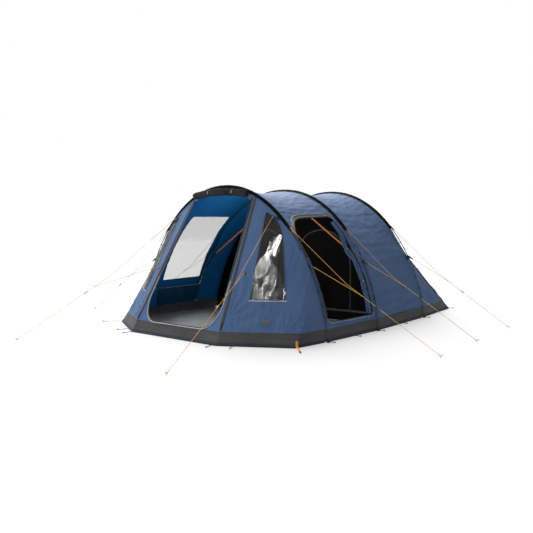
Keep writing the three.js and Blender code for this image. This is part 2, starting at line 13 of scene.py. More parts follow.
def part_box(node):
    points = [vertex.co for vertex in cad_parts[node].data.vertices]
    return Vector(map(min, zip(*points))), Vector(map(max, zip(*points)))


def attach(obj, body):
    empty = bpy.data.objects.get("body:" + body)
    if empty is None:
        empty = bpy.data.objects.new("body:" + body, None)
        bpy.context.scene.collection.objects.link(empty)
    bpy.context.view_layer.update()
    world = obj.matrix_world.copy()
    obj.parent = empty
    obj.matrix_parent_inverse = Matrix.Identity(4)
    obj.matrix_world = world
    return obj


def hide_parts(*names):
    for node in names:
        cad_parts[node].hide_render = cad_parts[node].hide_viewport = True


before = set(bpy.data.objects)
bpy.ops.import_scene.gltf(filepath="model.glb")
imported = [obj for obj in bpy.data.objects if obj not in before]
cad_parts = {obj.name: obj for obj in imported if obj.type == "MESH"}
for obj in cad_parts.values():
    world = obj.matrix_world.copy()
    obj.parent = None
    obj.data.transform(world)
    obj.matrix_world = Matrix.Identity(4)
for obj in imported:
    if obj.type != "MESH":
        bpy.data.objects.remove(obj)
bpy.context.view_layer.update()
BODY = "tent"

# ---------------------------------------------------------------- driving values

# The hoops' curve and the places on it, from 0 at the top to 1 at the foot, as in the CAD.
HOOP_WIDTH_POWER = 0.958
HOOP_HEIGHT_POWER = 1.267
POLE_RADIUS = 0.00625
SLEEVE_TIE = 0.474
GUY_TAB = 0.630
SLEEVE_END = 0.462
SLEEVE_EDGE_END = 0.43
CLIP_TAB = 0.626
CLIP_PLACES = (0.548, CLIP_TAB, 0.735, 0.845)
FERRULE_PLACES = (0.585, 0.80)
ROOF_SEAM = 0.345
SKIRT_TOP = 0.9137
HOOP_FOOT = 0.999

# Ground outlines (x, y) of the front bay and the back. Y counts from the front hoop's feet.
BAY_FRONT = (0.758, -0.966)
BAY_CORNER = (1.570, -0.514)
REAR_CORNER = (1.609, 3.863)
BAY_STATION = 0.42
REAR_STATION = 0.45
WALL_END = 0.985
SEAM_ON_HOOP = 0.2115
BAY_WINDOW_ON_HOOP = 0.464
REAR_CORNER_ON_HOOP = 0.52

# Cloth.
SKIRT_HEIGHT = 0.150
HOOP_GAP = 0.004
CLOTH_INSET = 0.018
LOWER_INSET = 0.022
CLOTH_GATHER = 0.045
GATHER_SHARE = {"front": 0.30, "middle": 0.55, "rear": 1.0}
INNER_INSET = 0.110
BEDROOM_Y = 1.560
CLOTH = 0.0016
FILM = 0.0012
GROUNDSHEET = 0.0022
SAG = 0.060
ZIP_TAPE_THICKNESS = 0.0016
FRAME_THICKNESS = 0.0022
SMALL_LOOP_RADIUS = 0.0022
SLEEVE_EDGE = 0.044
OUTER_SLEEVE_EDGE = 0.020
BEDROOM_LIFT = 0.012
CORNER_ROUNDING = 0.03
PANE_GAP = 0.002

# Studio light: shares of a white backdrop's brightness, and the lamps' powers in watts.
SKY_LIGHT = 2.15
AMBIENT_LIGHT = 0.26
FLOOR_GLOW = 0.50
FLOOR_SIZE = 60.0
FLOOR_DROP = 0.0005
FILM_LIGHT_HEIGHT = 6.0
SUN_DIRECTION = (-0.55, 0.38, 0.74)
SUN_SPREAD = 50
FILL_POWER = 190
INSIDE_POWER = 18.0

# The rolled and gathered doors, with their ties as shares of the length.
ROLL_RADIUS = 0.047
ROLL_TIES = (0.27, 0.79)
GATHER_RADIUS = 0.026
GATHER_TIES = (0.30, 0.66)

# The front doorway.
DOOR_EDGE = 0.9
DOOR_SILL = 0.170
DOOR_CORNER = 0.460
DOOR_TOP = 1.740
DOOR_LINTEL = 0.078

# Outlines of the openings: (y, z) on the sides, and along the bay's side and up.
SIDE_DOORWAY = [
    (0.066, 0.270), (0.080, 0.229), (0.140, 0.215), (1.010, 0.215), (1.050, 0.229), (1.064, 0.270),
    (1.132, 1.470), (1.120, 1.500), (1.080, 1.515), (0.460, 1.485), (0.330, 1.465), (0.210, 1.420),
    (0.110, 1.340), (0.074, 1.260),
]
LIVING_PANE = [(0.240, 0.550), (1.100, 0.560), (1.096, 1.000), (1.130, 1.545), (0.280, 1.530)]
BAY_PANE = [
    (0.341, 0.504), (0.763, 0.504), (0.690, 1.196), (0.661, 1.331), (0.610, 1.430), (0.540, 1.505),
    (0.452, 1.558), (0.436, 1.500),
]

# Guy lines.
CORD_DIAMETER = 0.005
TIE_STAND_OFF = 0.016
PEG_TIE_HEIGHT = 0.017
PEG_STAND_OFF = 0.006
BRANCH_END = 0.18
KNOT_STAND_OFF = 0.012
KNOT_CORD_RADIUS = 0.0021
GUY_MEETS = {
    "front": (1.880, 0.015, 0.711),
    "middle": (1.872, 1.178, 0.727),
    "rear": (1.960, 2.514, 0.690),
}
GUY_PEGS = {"front": (3.0, 0.047), "middle": (3.0, 1.145), "rear": (3.0, 2.397)}
BOW_UPPER = (0.880, -0.075, 1.490)
BOW_LOWER = (0.790, -0.500, 0.826)
BOW_MEET = (1.102, -1.040, 0.716)
BOW_PEG = (1.331, -2.218)

# The camera: where it stands, how far it looks down and round in degrees, and its lens.
CAMERA_PLACE = (5.300, -5.729, 1.312)
CAMERA_DOWN = 3.484
CAMERA_ROUND = 38.614
LENS = 39.17
SENSOR = 36.0

# A place outside the tent, for lines that are cast at its cloth.
FAR_OUT = 2.6

SIDES = (("right", 1.0), ("left", -1.0))


# ---------------------------------------------------------------- the frame's own sizes


def span(first, last, count):
    """Evenly spaced values, both ends included."""
    return np.linspace(first, last, count)


def read_pole(name):
    _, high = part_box(f"pole_{name}")
    foot_low, foot_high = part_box(f"foot_{name}_right")
    foot_y = (foot_low.y + foot_high.y) / 2
    height = high.z - POLE_RADIUS
    return SimpleNamespace(
        name=name,
        half_width=(foot_low.x + foot_high.x) / 2 + 0.001,
        height=height,
        foot_y=foot_y,
        lean=max(high.y - POLE_RADIUS - foot_y, 0.0) / height,
        gather=GATHER_SHARE[name],
    )


FRONT, MIDDLE, REAR = (read_pole(name) for name in ("front", "middle", "rear"))
POLES = (FRONT, MIDDLE, REAR)
ORIGIN_Y = FRONT.foot_y
TENT_CENTRE = np.array([0.0, ORIGIN_Y + 1.4, 0.6])


def at(x, y, z=0.0):
    """A point in the row frame, from one whose y counts from the front hoop's feet."""
    return np.array([x, y + ORIGIN_Y, z], float)


# ---------------------------------------------------------------- camera, light and stage


def linked(name, data):
    """A new object with this data, in the scene."""
    made = bpy.data.objects.new(name, data)
    bpy.context.collection.objects.link(made)
    return made


def build_camera():
    data = bpy.data.cameras.new("camera")
    data.sensor_width = SENSOR
    data.lens = LENS
    data.clip_end = 200.0
    camera = linked("camera", data)
    camera.location = at(*CAMERA_PLACE)
    camera.rotation_euler = (math.radians(90 - CAMERA_DOWN), 0.0, math.radians(CAMERA_ROUND))
    bpy.context.scene.camera = camera


def area_light(name, place, target, size, power):
    data = bpy.data.lights.new(name, "AREA")
    data.shape = "RECTANGLE"
    data.size, data.size_y = size
    data.energy = power
    light = linked(name, data)
    light.location = place
    aim = Vector(target) - Vector(place)
    light.rotation_euler = aim.to_track_quat("-Z", "Y").to_euler()
    return light


def build_film_light(name, spot, turn, size, power):
    """A light placed where the bay window mirrors it to the camera.

    The spot is a place on the pane and the turn is the slope of the light's long side there.
    """
    base = at(*BAY_FRONT)
    along = unit(at(*BAY_CORNER) - base)
    top = hoop(FRONT, BAY_WINDOW_ON_HOOP)
    slope = unit(top - (base + at(*BAY_CORNER)) / 2)
    facing = unit(np.cross(along, slope))
    rise = np.cross(facing, along)
    rise = rise * np.sign(rise[2])
    level = base + along * spot[0]
    place = level + rise * (spot[1] - level[2]) / rise[2]
    eye = np.array(bpy.context.scene.camera.location)
    mirrored_eye = eye - 2 * np.dot(eye - place, facing) * facing
    toward = unit(place - mirrored_eye)
    position = mirrored_eye + toward * (FILM_LIGHT_HEIGHT - mirrored_eye[2]) / toward[2]
    slant = along * math.cos(turn) + rise * math.sin(turn)
    long_side = unit(slant - toward * np.dot(slant, toward))
    light = area_light(name, position, place, size, power)
    axes = Matrix((long_side, np.cross(toward, long_side), toward)).transposed()
    light.rotation_euler = axes.to_euler()


def build_lights():
    sky = bpy.data.lights.new("sky_light", "SUN")
    sky.energy = SKY_LIGHT * math.pi
    sky.angle = math.radians(SUN_SPREAD)
    lamp = linked("sky_light", sky)
    lamp.rotation_euler = Vector(SUN_DIRECTION).to_track_quat("Z", "Y").to_euler()
    fill = area_light("front_fill", at(-2.5, -7.0, 3.0), at(0.4, -0.4, 0.8), (3.0, 2.0), FILL_POWER)
    fill.visible_glossy = False
    build_film_light("film_band_light", (0.500, 0.980), 0.42, (1.60, 0.26), 52)
    build_film_light("film_streak_light", (0.60, 0.58), math.pi / 2, (0.90, 0.36), 50)
    inside = bpy.data.lights.new("inside_light", "POINT")
    inside.energy = INSIDE_POWER
    inside.shadow_soft_size = 0.35
    inside.specular_factor = 0.0
    lamp = linked("inside_light", inside)
    lamp.location = at(0.1, 0.55, 1.15)
    lamp.visible_camera = False
    lamp.visible_transmission = False


def build_world():
    """A white studio: plain white behind the tent, and dimmer where it lights the cloth."""
    world = bpy.data.worlds.new("studio")
    scene = bpy.context.scene
    scene.world = world
    scene.view_settings.view_transform = "Standard"
    world.use_nodes = True
    tree = world.node_tree
    background = tree.nodes["Background"]
    background.inputs["Color"].default_value = (1.0, 1.0, 1.0, 1.0)
    rays = tree.nodes.new("ShaderNodeLightPath")
    seen = tree.nodes.new("ShaderNodeMath")
    seen.operation = "MAXIMUM"
    tree.links.new(rays.outputs["Is Camera Ray"], seen.inputs[0])
    tree.links.new(rays.outputs["Is Transmission Ray"], seen.inputs[1])
    strength = tree.nodes.new("ShaderNodeMapRange")
    strength.inputs["To Min"].default_value = AMBIENT_LIGHT
    strength.inputs["To Max"].default_value = 1.0
    tree.links.new(seen.outputs[0], strength.inputs["Value"])
    tree.links.new(strength.outputs["Result"], background.inputs["Strength"])


def build_floor():
    """A plain pale floor with a little light of its own, like a lit studio sweep."""
    mesh = bpy.data.meshes.new("stage_floor")
    corners = [(x * FLOOR_SIZE, y * FLOOR_SIZE, 0) for x, y in ((-1, -1), (1, -1), (1, 1), (-1, 1))]
    mesh.from_pydata(corners, [], [(0, 1, 2, 3)])
    floor = linked("stage_floor", mesh)
    floor.location.z = -FLOOR_DROP
    material = plain_material("pale_floor", (0.24, 0.24, 0.24), 0.9)
    shader = material.node_tree.nodes["Principled BSDF"]
    shader.inputs["Emission Color"].default_value = (1.0, 1.0, 1.0, 1.0)
    shader.inputs["Emission Strength"].default_value = FLOOR_GLOW
    mesh.materials.append(material)


# ---------------------------------------------------------------- materials

METRES = "Metres"


def plain_material(name, colour, roughness):
    material = bpy.data.materials.new(name)
    material.use_nodes = True
    shader = material.node_tree.nodes["Principled BSDF"]
    shader.inputs["Base Color"].default_value = (*colour, 1.0)
    shader.inputs["Roughness"].default_value = roughness
    return material


class Look:
    """A material under construction: short ways to add and join its nodes."""

    def __init__(self, name, roughness=0.7):
        self.material = bpy.data.materials.new(name)
        self.material.use_nodes = True
        self.tree = self.material.node_tree
        self.shader = self.tree.nodes["Principled BSDF"]
        self.shader.inputs["Roughness"].default_value = roughness
        self.uv = self.node("ShaderNodeUVMap", uv_map=METRES).outputs["UV"]
        self.place = self.node("ShaderNodeTexCoord").outputs["Object"]
        self.bump = None

    def node(self, kind, **settings):
        made = self.tree.nodes.new(kind)
        for key, value in settings.items():
            setattr(made, key, value)
        return made

    def link(self, output, socket):
        self.tree.links.new(output, socket)

    def scaled(self, vector, scale):
        mapping = self.node("ShaderNodeMapping")
        mapping.inputs["Scale"].default_value = scale
        self.link(vector, mapping.inputs["Vector"])
        return mapping.outputs["Vector"]

    def noise(self, vector, scale, detail=3.0, roughness=0.55):
        texture = self.node("ShaderNodeTexNoise")
        texture.inputs["Scale"].default_value = 1.0
        texture.inputs["Detail"].default_value = detail
        texture.inputs["Roughness"].default_value = roughness
        self.link(self.scaled(vector, scale), texture.inputs["Vector"])
        return texture.outputs["Fac"]

    def threads(self, vector, spacing, axis):
        """Bands one spacing apart along one axis, from 0 to 1."""
        wave = self.node("ShaderNodeTexWave", wave_type="BANDS", bands_direction=axis)
        wave.inputs["Scale"].default_value = 0.314 / spacing
        wave.inputs["Distortion"].default_value = 0.0
        self.link(vector, wave.inputs["Vector"])
        return wave.outputs["Fac"]

    def math(self, operation, first, second):
        made = self.node("ShaderNodeMath", operation=operation)
        for socket, value in zip(made.inputs, (first, second)):
            if isinstance(value, (int, float)):
                socket.default_value = value
            else:
                self.link(value, socket)
        return made.outputs[0]

    def ramp(self, fac, stops):
        ramp = self.node("ShaderNodeValToRGB")
        while len(ramp.color_ramp.elements) < len(stops):
            ramp.color_ramp.elements.new(0.5)
        for element, (where, colour) in zip(ramp.color_ramp.elements, stops):
            element.position = where
            element.color = (*colour, 1.0)
        self.link(fac, ramp.inputs["Fac"])
        return ramp.outputs["Color"]

    def remap(self, fac, low, high, first=0.0, last=1.0):
        """The range from first to last, spread over low to high."""
        made = self.node("ShaderNodeMapRange")
        limits = {"From Min": first, "From Max": last, "To Min": low, "To Max": high}
        for name, value in limits.items():
            made.inputs[name].default_value = value
        self.link(fac, made.inputs["Value"])
        return made.outputs["Result"]

    def mottle(self, scale, detail):
        """Noise through the whole piece, the same every way."""
        return self.noise(self.place, (scale,) * 3, detail)

    def colour(self, output):
        self.link(output, self.shader.inputs["Base Color"])

    def paint(self, fac, colour, spread):
        """The colour, a little darker and lighter by turns."""
        self.colour(self.ramp(fac, shades(colour, spread)))

    def roughness(self, fac, low, high):
        self.link(self.remap(fac, low, high), self.shader.inputs["Roughness"])

    def relief(self, height, distance, strength=1.0):
        bump = self.node("ShaderNodeBump")
        bump.inputs["Distance"].default_value = distance
        bump.inputs["Strength"].default_value = strength
        self.link(height, bump.inputs["Height"])
        if self.bump is not None:
            self.link(self.bump, bump.inputs["Normal"])
        self.bump = bump.outputs["Normal"]
        self.link(self.bump, self.shader.inputs["Normal"])

    def weave(self, spacing, distance, strength):
        """Crossed threads, as relief."""
        across = self.threads(self.uv, spacing, "X")
        along = self.threads(self.uv, spacing, "Y")
        self.relief(self.math("MULTIPLY", across, along), distance, strength)

    def creases(self, scale, detail, distance, strength):
        """Relief that follows the cloth's own lengths."""
        self.relief(self.noise(self.uv, scale, detail), distance, strength)

    def set(self, **values):
        for name, value in values.items():
            self.shader.inputs[name.replace("_", " ")].default_value = value


def shades(colour, spread):
    dark = tuple(part * (1 - spread) for part in colour)
    light = tuple(part * (1 + spread) for part in colour)
    return [(0.3, dark), (0.7, light)]


def woven(name, colour, roughness=0.62, spread=0.12, weave=0.0018, sheen=0.15, crease=0.0012,
          folds=0.0, gloss=0.08):
    """Coated cloth: a plain weave, faint mottling, small handling creases and a soft sheen."""
    look = Look(name, roughness)
    look.paint(look.mottle(2.2, 4.0), colour, spread)
    look.roughness(look.mottle(9, 3.0), roughness - 0.08, roughness + 0.1)
    look.weave(weave, 0.00015, 0.5)
    look.creases((26, 11, 1), 3.0, crease, 0.35)
    if folds:
        look.creases((15, 1.3, 1), 2.0, folds, 0.7)
        look.creases((5, 3.5, 1), 2.0, folds * 1.2, 0.6)
    look.set(Sheen_Weight=sheen, Sheen_Roughness=0.4, Specular_IOR_Level=gloss)
    return look.material


def ribbed(name, colour, ribs=0.0022, stitch=None, roughness=0.75):
    """Webbing and tape: ribs across the length, and a paler stitch line near each edge."""
    look = Look(name, roughness)
    base = look.ramp(look.mottle(40, 2.0), shades(colour, 0.14))
    if stitch is None:
        look.colour(base)
    else:
        mix = look.node("ShaderNodeMix", data_type="RGBA")
        dash = look.math("GREATER_THAN", look.threads(look.uv, 0.006, "X"), 0.45)
        row = look.math("GREATER_THAN", look.threads(look.uv, 0.011, "Y"), 0.93)
        look.link(look.math("MULTIPLY", dash, row), mix.inputs["Factor"])
        look.link(base, mix.inputs["A"])
        mix.inputs["B"].default_value = (*stitch, 1.0)
        look.colour(mix.outputs["Result"])
    look.relief(look.threads(look.uv, ribs, "X"), 0.0003, 0.7)
    look.creases((60, 60, 1), 2.0, 0.0006, 0.4)
    return look.material


def moulded(name, colour, roughness=0.4, metallic=0.0, grain=220, spread=0.12):
    """Plastic or metal with fine grain and uneven gloss."""
    look = Look(name, roughness)
    look.paint(look.mottle(grain / 4, 3.0), colour, spread)
    look.roughness(look.mottle(grain / 9, 3.0), roughness - 0.08, roughness + 0.14)
    look.relief(look.mottle(grain, 2.0), 0.0002, 0.4)
    look.set(Metallic=metallic)
    return look.material


def film_material(name, streaky):
    """Clear film: nearly flat, or with the long upright wrinkles of a slack pane."""
    look = Look(name, 0.035)
    look.set(Base_Color=(0.66, 0.66, 0.66, 1.0), Transmission_Weight=1.0, IOR=1.42)
    look.roughness(look.mottle(12, 2.0), 0.012, 0.035)
    look.creases((14, 9, 1), 2.0, 0.0010, 0.3)
    if not streaky:
        return look.material
    height = look.node("ShaderNodeSeparateXYZ")
    look.link(look.uv, height.inputs[0])
    low = look.remap(height.outputs["Y"], 1.0, 0.12, first=0.62, last=0.80)
    streaks = look.noise(look.uv, (24, 2.5, 1), 1.0)
    look.relief(look.math("MULTIPLY", streaks, low), 0.012, 0.9)
    look.creases((34, 14, 1), 1.0, 0.0008, 0.5)
    return look.material


def groundsheet_material(name, colour):
    """Woven polyethylene tape: a coarse basket weave with a slight gloss."""
    look = Look(name, 0.55)
    look.paint(look.mottle(1.7, 5.0), colour, 0.22)
    look.weave(0.005, 0.0004, 0.6)
    look.creases((9, 4, 1), 4.0, 0.004, 0.5)
    look.roughness(look.mottle(6, 3.0), 0.42, 0.7)
    return look.material


def braided(name, colour):
    """Braided cord: slanted strands round the line."""
    look = Look(name, 0.72)
    strands = look.threads(look.place, 0.004, "DIAGONAL")
    look.paint(strands, colour, 0.2)
    look.relief(strands, 0.0004, 0.7)
    look.roughness(look.mottle(90, 2.0), 0.6, 0.85)
    return look.material


def pole_material():
    look = Look("pole_glass_fibre", 0.45)
    look.paint(look.noise(look.place, (30, 30, 4), 3.0), (0.018, 0.018, 0.021), 0.3)
    look.roughness(look.mottle(14, 3.0), 0.2, 0.42)
    look.relief(look.noise(look.place, (150, 150, 30), 2.0), 0.0002, 0.3)
    look.set(Coat_Weight=0.35, Coat_Roughness=0.15)
    return look.material


build_camera()
LOOKS = SimpleNamespace(
    fly=woven("fly_cloth", (0.068, 0.120, 0.236), 0.6, 0.08, sheen=0.03, folds=0.008),
    # Pale blue for the side door's lip: a painted highlight, not the cloth's own colour.
    lip_highlight=woven("flap_cloth", (0.15, 0.21, 0.31), 0.6, 0.10, sheen=0.1),
    fly_seam=woven("fly_seam_cloth", (0.050, 0.082, 0.150), 0.65, 0.10, sheen=0.05),
    # The fly's inner face: painted a deeper, brighter blue than the outer face, as painted light
    # for daylight shining through the cloth.
    lit_through_inside=woven("fly_inside", (0.006, 0.105, 0.285), 0.7, 0.10, sheen=0.0),
    lining_dark=woven("pocket_cloth", (0.008, 0.050, 0.100), 0.7, 0.14, sheen=0.0),
    skirt=woven("skirt_cloth", (0.064, 0.062, 0.065), 0.5, 0.18, crease=0.003, sheen=0.05),
    strip=woven("hem_strip_cloth", (0.030, 0.046, 0.075), 0.6, 0.1, sheen=0.0),
    black=woven("bedroom_cloth", (0.0040, 0.0034, 0.0030), 0.72, 0.2, sheen=0.0, gloss=0.03),
    sleeve=woven("sleeve_cloth", (0.0045, 0.0045, 0.0055), 0.7, 0.2, sheen=0.0),
    roll=woven("roll_cloth", (0.030, 0.030, 0.034), 0.6, 0.35, crease=0.006, sheen=0.0, gloss=0.0),
    tape=ribbed("seam_tape", (0.038, 0.034, 0.035), stitch=(0.075, 0.072, 0.070)),
    zip_tape=ribbed("zip_tape", (0.012, 0.012, 0.014), 0.0016),
    zip_coil=ribbed("zip_coil", (0.050, 0.050, 0.053), 0.0030, roughness=0.45),
    flashing=ribbed("rain_flashing", (0.16, 0.145, 0.130), 0.0030, stitch=(0.07, 0.07, 0.07)),
    piping=ribbed("piping", (0.40, 0.40, 0.39), 0.0025),
    orange=ribbed("orange_webbing", (0.68, 0.27, 0.045), 0.0020, stitch=(0.8, 0.45, 0.15)),
    strap=ribbed("strap_webbing", (0.40, 0.115, 0.020), 0.0020, stitch=(0.6, 0.25, 0.08)),
    webbing=ribbed("black_webbing", (0.011, 0.011, 0.012), 0.0020, stitch=(0.04, 0.04, 0.04)),
    weld=moulded("window_weld", (0.30, 0.32, 0.33), 0.35, grain=90),
    film=film_material("window_film", False),
    film_slack=film_material("bay_window_film", True),
    floor=groundsheet_material("groundsheet", (0.150, 0.152, 0.158)),
    mat=groundsheet_material("door_mat", (0.52, 0.54, 0.60)),
    cord=braided("guy_cord", (0.55, 0.31, 0.055)),
    elastic=ribbed("elastic_loop", (0.010, 0.010, 0.012), 0.0030),
    plastic=moulded("black_plastic", (0.012, 0.012, 0.014), 0.4),
    toggle=moulded("toggle_plastic", (0.42, 0.42, 0.41), 0.4),
    label=ribbed("blank_label", (0.085, 0.100, 0.125), 0.0012),
    steel=moulded("zinc_steel", (0.40, 0.40, 0.41), 0.32, 1.0, 300),
    dark_steel=moulded("dark_anodised", (0.035, 0.035, 0.038), 0.35, 1.0, 300),
    pole=pole_material(),
)


# The record's material slot that each look belongs to.
SLOT_LOOKS = {
    "fly_cloth": "fly_cloth flap_cloth fly_seam_cloth fly_inside pocket_cloth rain_flashing piping "
                 "blank_label window_weld hem_strip_cloth",
    "skirt_cloth": "skirt_cloth roll_cloth seam_tape",
    "inner_cloth": "bedroom_cloth",
    "sleeve_cloth": "sleeve_cloth black_webbing elastic_loop",
    "window_film": "window_film bay_window_film",
    "groundsheet": "groundsheet door_mat",
    "strap": "orange_webbing strap_webbing",
    "guy_cord": "guy_cord",
    "runner_plastic": "black_plastic toggle_plastic zip_tape zip_coil",
    "metal": "zinc_steel dark_anodised",
    "pole": "pole_glass_fibre",
}


def slot_of(material):
    """The slot whose looks name this material, less any number added to the name."""
    look = material.name.split(".")[0]
    return next(slot for slot, looks in SLOT_LOOKS.items() if look in looks.split())


# ---------------------------------------------------------------- curves and surfaces


def run_along(line):
    """The distance along a line to each of its points."""
    return np.concatenate([[0.0], np.cumsum(np.linalg.norm(np.diff(line, axis=0), axis=1))])


def whole_turn(count):
    """Evenly spaced angles, once round."""
    return span(0, 2 * math.pi, count + 1)[:-1]


def polar(radius, angle):
    return np.stack([radius * np.cos(angle), radius * np.sin(angle)], -1)


def hoop(pole, place, inset=0.0):
    """Points on a hoop: place runs from -1 at the left foot through 0 at the top to 1."""
    place = np.asarray(place, float)

    def raw(where):
        angle = np.minimum(np.abs(where), 1.0) * math.pi / 2
        x = np.sign(where) * pole.half_width * np.sin(angle) ** HOOP_WIDTH_POWER
        return x, pole.height * np.cos(angle) ** HOOP_HEIGHT_POWER

    x, z = raw(place)
    x0, z0 = raw(np.clip(place - 0.004, -1, 1))
    x1, z1 = raw(np.clip(place + 0.004, -1, 1))
    length = np.hypot(x1 - x0, z1 - z0)
    y = pole.foot_y + pole.lean * z
    return np.stack([x + inset * (z1 - z0) / length, y, z - inset * (x1 - x0) / length], -1)


def cloth_inset(place, pull=1.0):
    """How far the cloth lies inside the hoop: further where it hangs free below a sleeve."""
    free = np.clip((np.abs(place) - SLEEVE_END) / (CLIP_TAB - SLEEVE_END), 0, 1)
    gather = CLOTH_GATHER * np.sin(math.pi * free) ** 2 * pull
    return CLOTH_INSET + (LOWER_INSET - CLOTH_INSET) * free + gather


def tunnel(front, back, place, along):
    """A point between two hoops. The gather dies away from the hoops."""
    pull = (1 - np.sin(math.pi * np.asarray(along, float))) ** 2
    start = hoop(front, place, cloth_inset(place, front.gather * pull))
    end = hoop(back, place, cloth_inset(place, back.gather * pull))
    gap = (HOOP_GAP / (end[..., 1] - start[..., 1]))[..., None]
    return start + (end - start) * (gap + (1 - 2 * gap) * np.asarray(along)[..., None])


class EndWall:
    """A sloping end wall, ruled between a hoop and a ground outline. Station is -1 to 1."""

    def __init__(self, pole, outline, face_place, face_station, away):
        self.pole, self.face_place, self.face_station = pole, face_place, face_station
        self.away = away
        self.outline = np.array(outline, float)
        run = run_along(self.outline)
        self.run = run / run[-1]

    def station_of(self, place):
        """The station whose ruling line starts at a place on the hoop."""
        size = np.abs(place)
        on_face = self.face_station * size / self.face_place
        share = (size - self.face_place) / (1 - self.face_place)
        beyond = self.face_station + (1 - self.face_station) * share
        return np.sign(place) * np.where(size <= self.face_place, on_face, beyond)

    def line(self, station, inset=0.0):
        station = np.asarray(station, float)
        side = np.where(station < 0, -1.0, 1.0)
        size = np.abs(station)
        share = np.minimum(size / self.face_station, 1.0)
        fraction = np.clip((size - self.face_station) / (1 - self.face_station), 0, 1)
        place = self.face_place * share + (1 - self.face_place) * fraction
        ground_x = np.interp(fraction, self.run, self.outline[:, 0]) * share
        ground_y = np.interp(fraction, self.run, self.outline[:, 1])
        cloth = cloth_inset(place, self.pole.gather) + inset
        top = hoop(self.pole, side * np.minimum(place, HOOP_FOOT), cloth)
        top[..., 1] += self.away * HOOP_GAP
        pull = inset * share + LOWER_INSET * fraction
        y = ground_y + ORIGIN_Y - self.away * inset * (1 - fraction)
        ground = np.stack([side * (ground_x - pull), y, np.zeros_like(y)], -1)
        return top, ground

    def at_height(self, station, height, inset=0.0):
        top, ground = self.line(station, inset)
        share = np.clip(np.asarray(height) / top[..., 2], 0, 1)[..., None]
        return ground + (top - ground) * share

    def above_skirt(self, station, fraction):
        top, _ = self.line(station)
        return self.at_height(station, SKIRT_HEIGHT + (top[..., 2] - SKIRT_HEIGHT) * fraction)


FRONT_FOOT = (FRONT.half_width, 0.0)
REAR_FOOT = (REAR.half_width, REAR.foot_y - ORIGIN_Y)
BAY = EndWall(FRONT, [BAY_FRONT, BAY_CORNER, FRONT_FOOT], SEAM_ON_HOOP, BAY_STATION, -1)
BACK = EndWall(REAR, [REAR_CORNER, REAR_FOOT], REAR_CORNER_ON_HOOP, REAR_STATION, 1)
BAY_TURN = BAY_STATION + (1 - BAY_STATION) * BAY.run[1]


def grid(surface, us, vs):
    u, v = np.meshgrid(np.asarray(us, float), np.asarray(vs, float), indexing="ij")
    return surface(u, v)


def outward(points, centre=TENT_CENTRE):
    """Unit normals of a grid of points, turned away from the centre."""
    normals = np.cross(np.gradient(points, axis=0), np.gradient(points, axis=1))
    normals /= np.maximum(np.linalg.norm(normals, axis=-1, keepdims=True), 1e-12)
    facing = ((points - centre) * normals).sum()
    return normals if facing > 0 else -normals


def metres(points):
    """Distances along the two ways of a grid, measured on its middle lines."""
    middle_u = points[:, points.shape[1] // 2]
    middle_v = points[points.shape[0] // 2]
    return np.meshgrid(run_along(middle_u), run_along(middle_v), indexing="ij")


def ripple(s, t, wave_s, wave_t, seed):
    """Smooth noise from about -1 to 1 with its own wavelength each way."""
    flat = np.stack([s.ravel() / wave_s + seed * 7.3, t.ravel() / wave_t - seed * 3.1], -1)
    values = [noise.noise((a, b, seed * 1.7)) for a, b in flat]
    return np.array(values).reshape(s.shape)


def ridges(s, t, wave_s, wave_t, seed, sharpness=3.0):
    """Narrow creases: noise folded so that it peaks along thin lines, from 0 to 1."""
    return np.clip(1 - 2.2 * np.abs(ripple(s, t, wave_s, wave_t, seed)), 0, 1) ** sharpness


def rays(s, t, centre, count, reach, turn=0.0):
    """Pull creases that fan out from a tie point and fade with distance."""
    ds, dt = s - centre[0], t - centre[1]
    distance = np.hypot(ds, dt)
    wave = np.cos(count * np.arctan2(dt, ds) + turn + 2.5 * np.sin(distance * 9))
    return wave * np.exp(-distance / reach) * (1 - np.exp(-distance / 0.04))


def fade(x, width):
    """0 at both ends of a 0..1 run and 1 in between."""
    return np.clip(np.minimum(x, 1 - x) / width, 0, 1)


def within(s, t, width_s, width_t):
    """0 along a sheet's edges and 1 inside them."""
    return fade(s / s.max(), width_s) * fade(t / t.max(), width_t)


# ---------------------------------------------------------------- mesh making


def riding(name, data, material):
    """A new piece that rides on the tent; the record's slot for its look is looked up but not kept.
    """
    piece = linked(name, data)
    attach(piece, BODY)
    slot_of(material)
    return piece


def link_piece(name, mesh, materials):
    for material in materials:
        mesh.materials.append(material)
    return riding(name, mesh, materials[0])


def finish_mesh(mesh, sharp=40):
    work = bmesh.new()
    work.from_mesh(mesh)
    bmesh.ops.recalc_face_normals(work, faces=work.faces)
    work.to_mesh(mesh)
    work.free()
    mesh.shade_smooth()
    mesh.set_sharp_from_angle(angle=math.radians(sharp))


def mesh_of(name, points, faces, uvs=None, slots=None, sharp=40):
    mesh = bpy.data.meshes.new(name)
    mesh.from_pydata([tuple(p) for p in points], [], [tuple(f) for f in faces])
    layer = mesh.uv_layers.new(name=METRES)
    if uvs is not None:
        corner = np.zeros(len(mesh.loops), np.int32)
        mesh.loops.foreach_get("vertex_index", corner)
        layer.data.foreach_set("uv", np.asarray(uvs, np.float32)[corner].ravel())
    if slots is not None:
        mesh.polygons.foreach_set("material_index", np.asarray(slots, np.int32))
    finish_mesh(mesh, sharp)
    return mesh


def quads(index):
    a, b, c, d = index[:-1, :-1], index[1:, :-1], index[1:, 1:], index[:-1, 1:]
    return np.stack([a, b, c, d], -1).reshape(-1, 4)


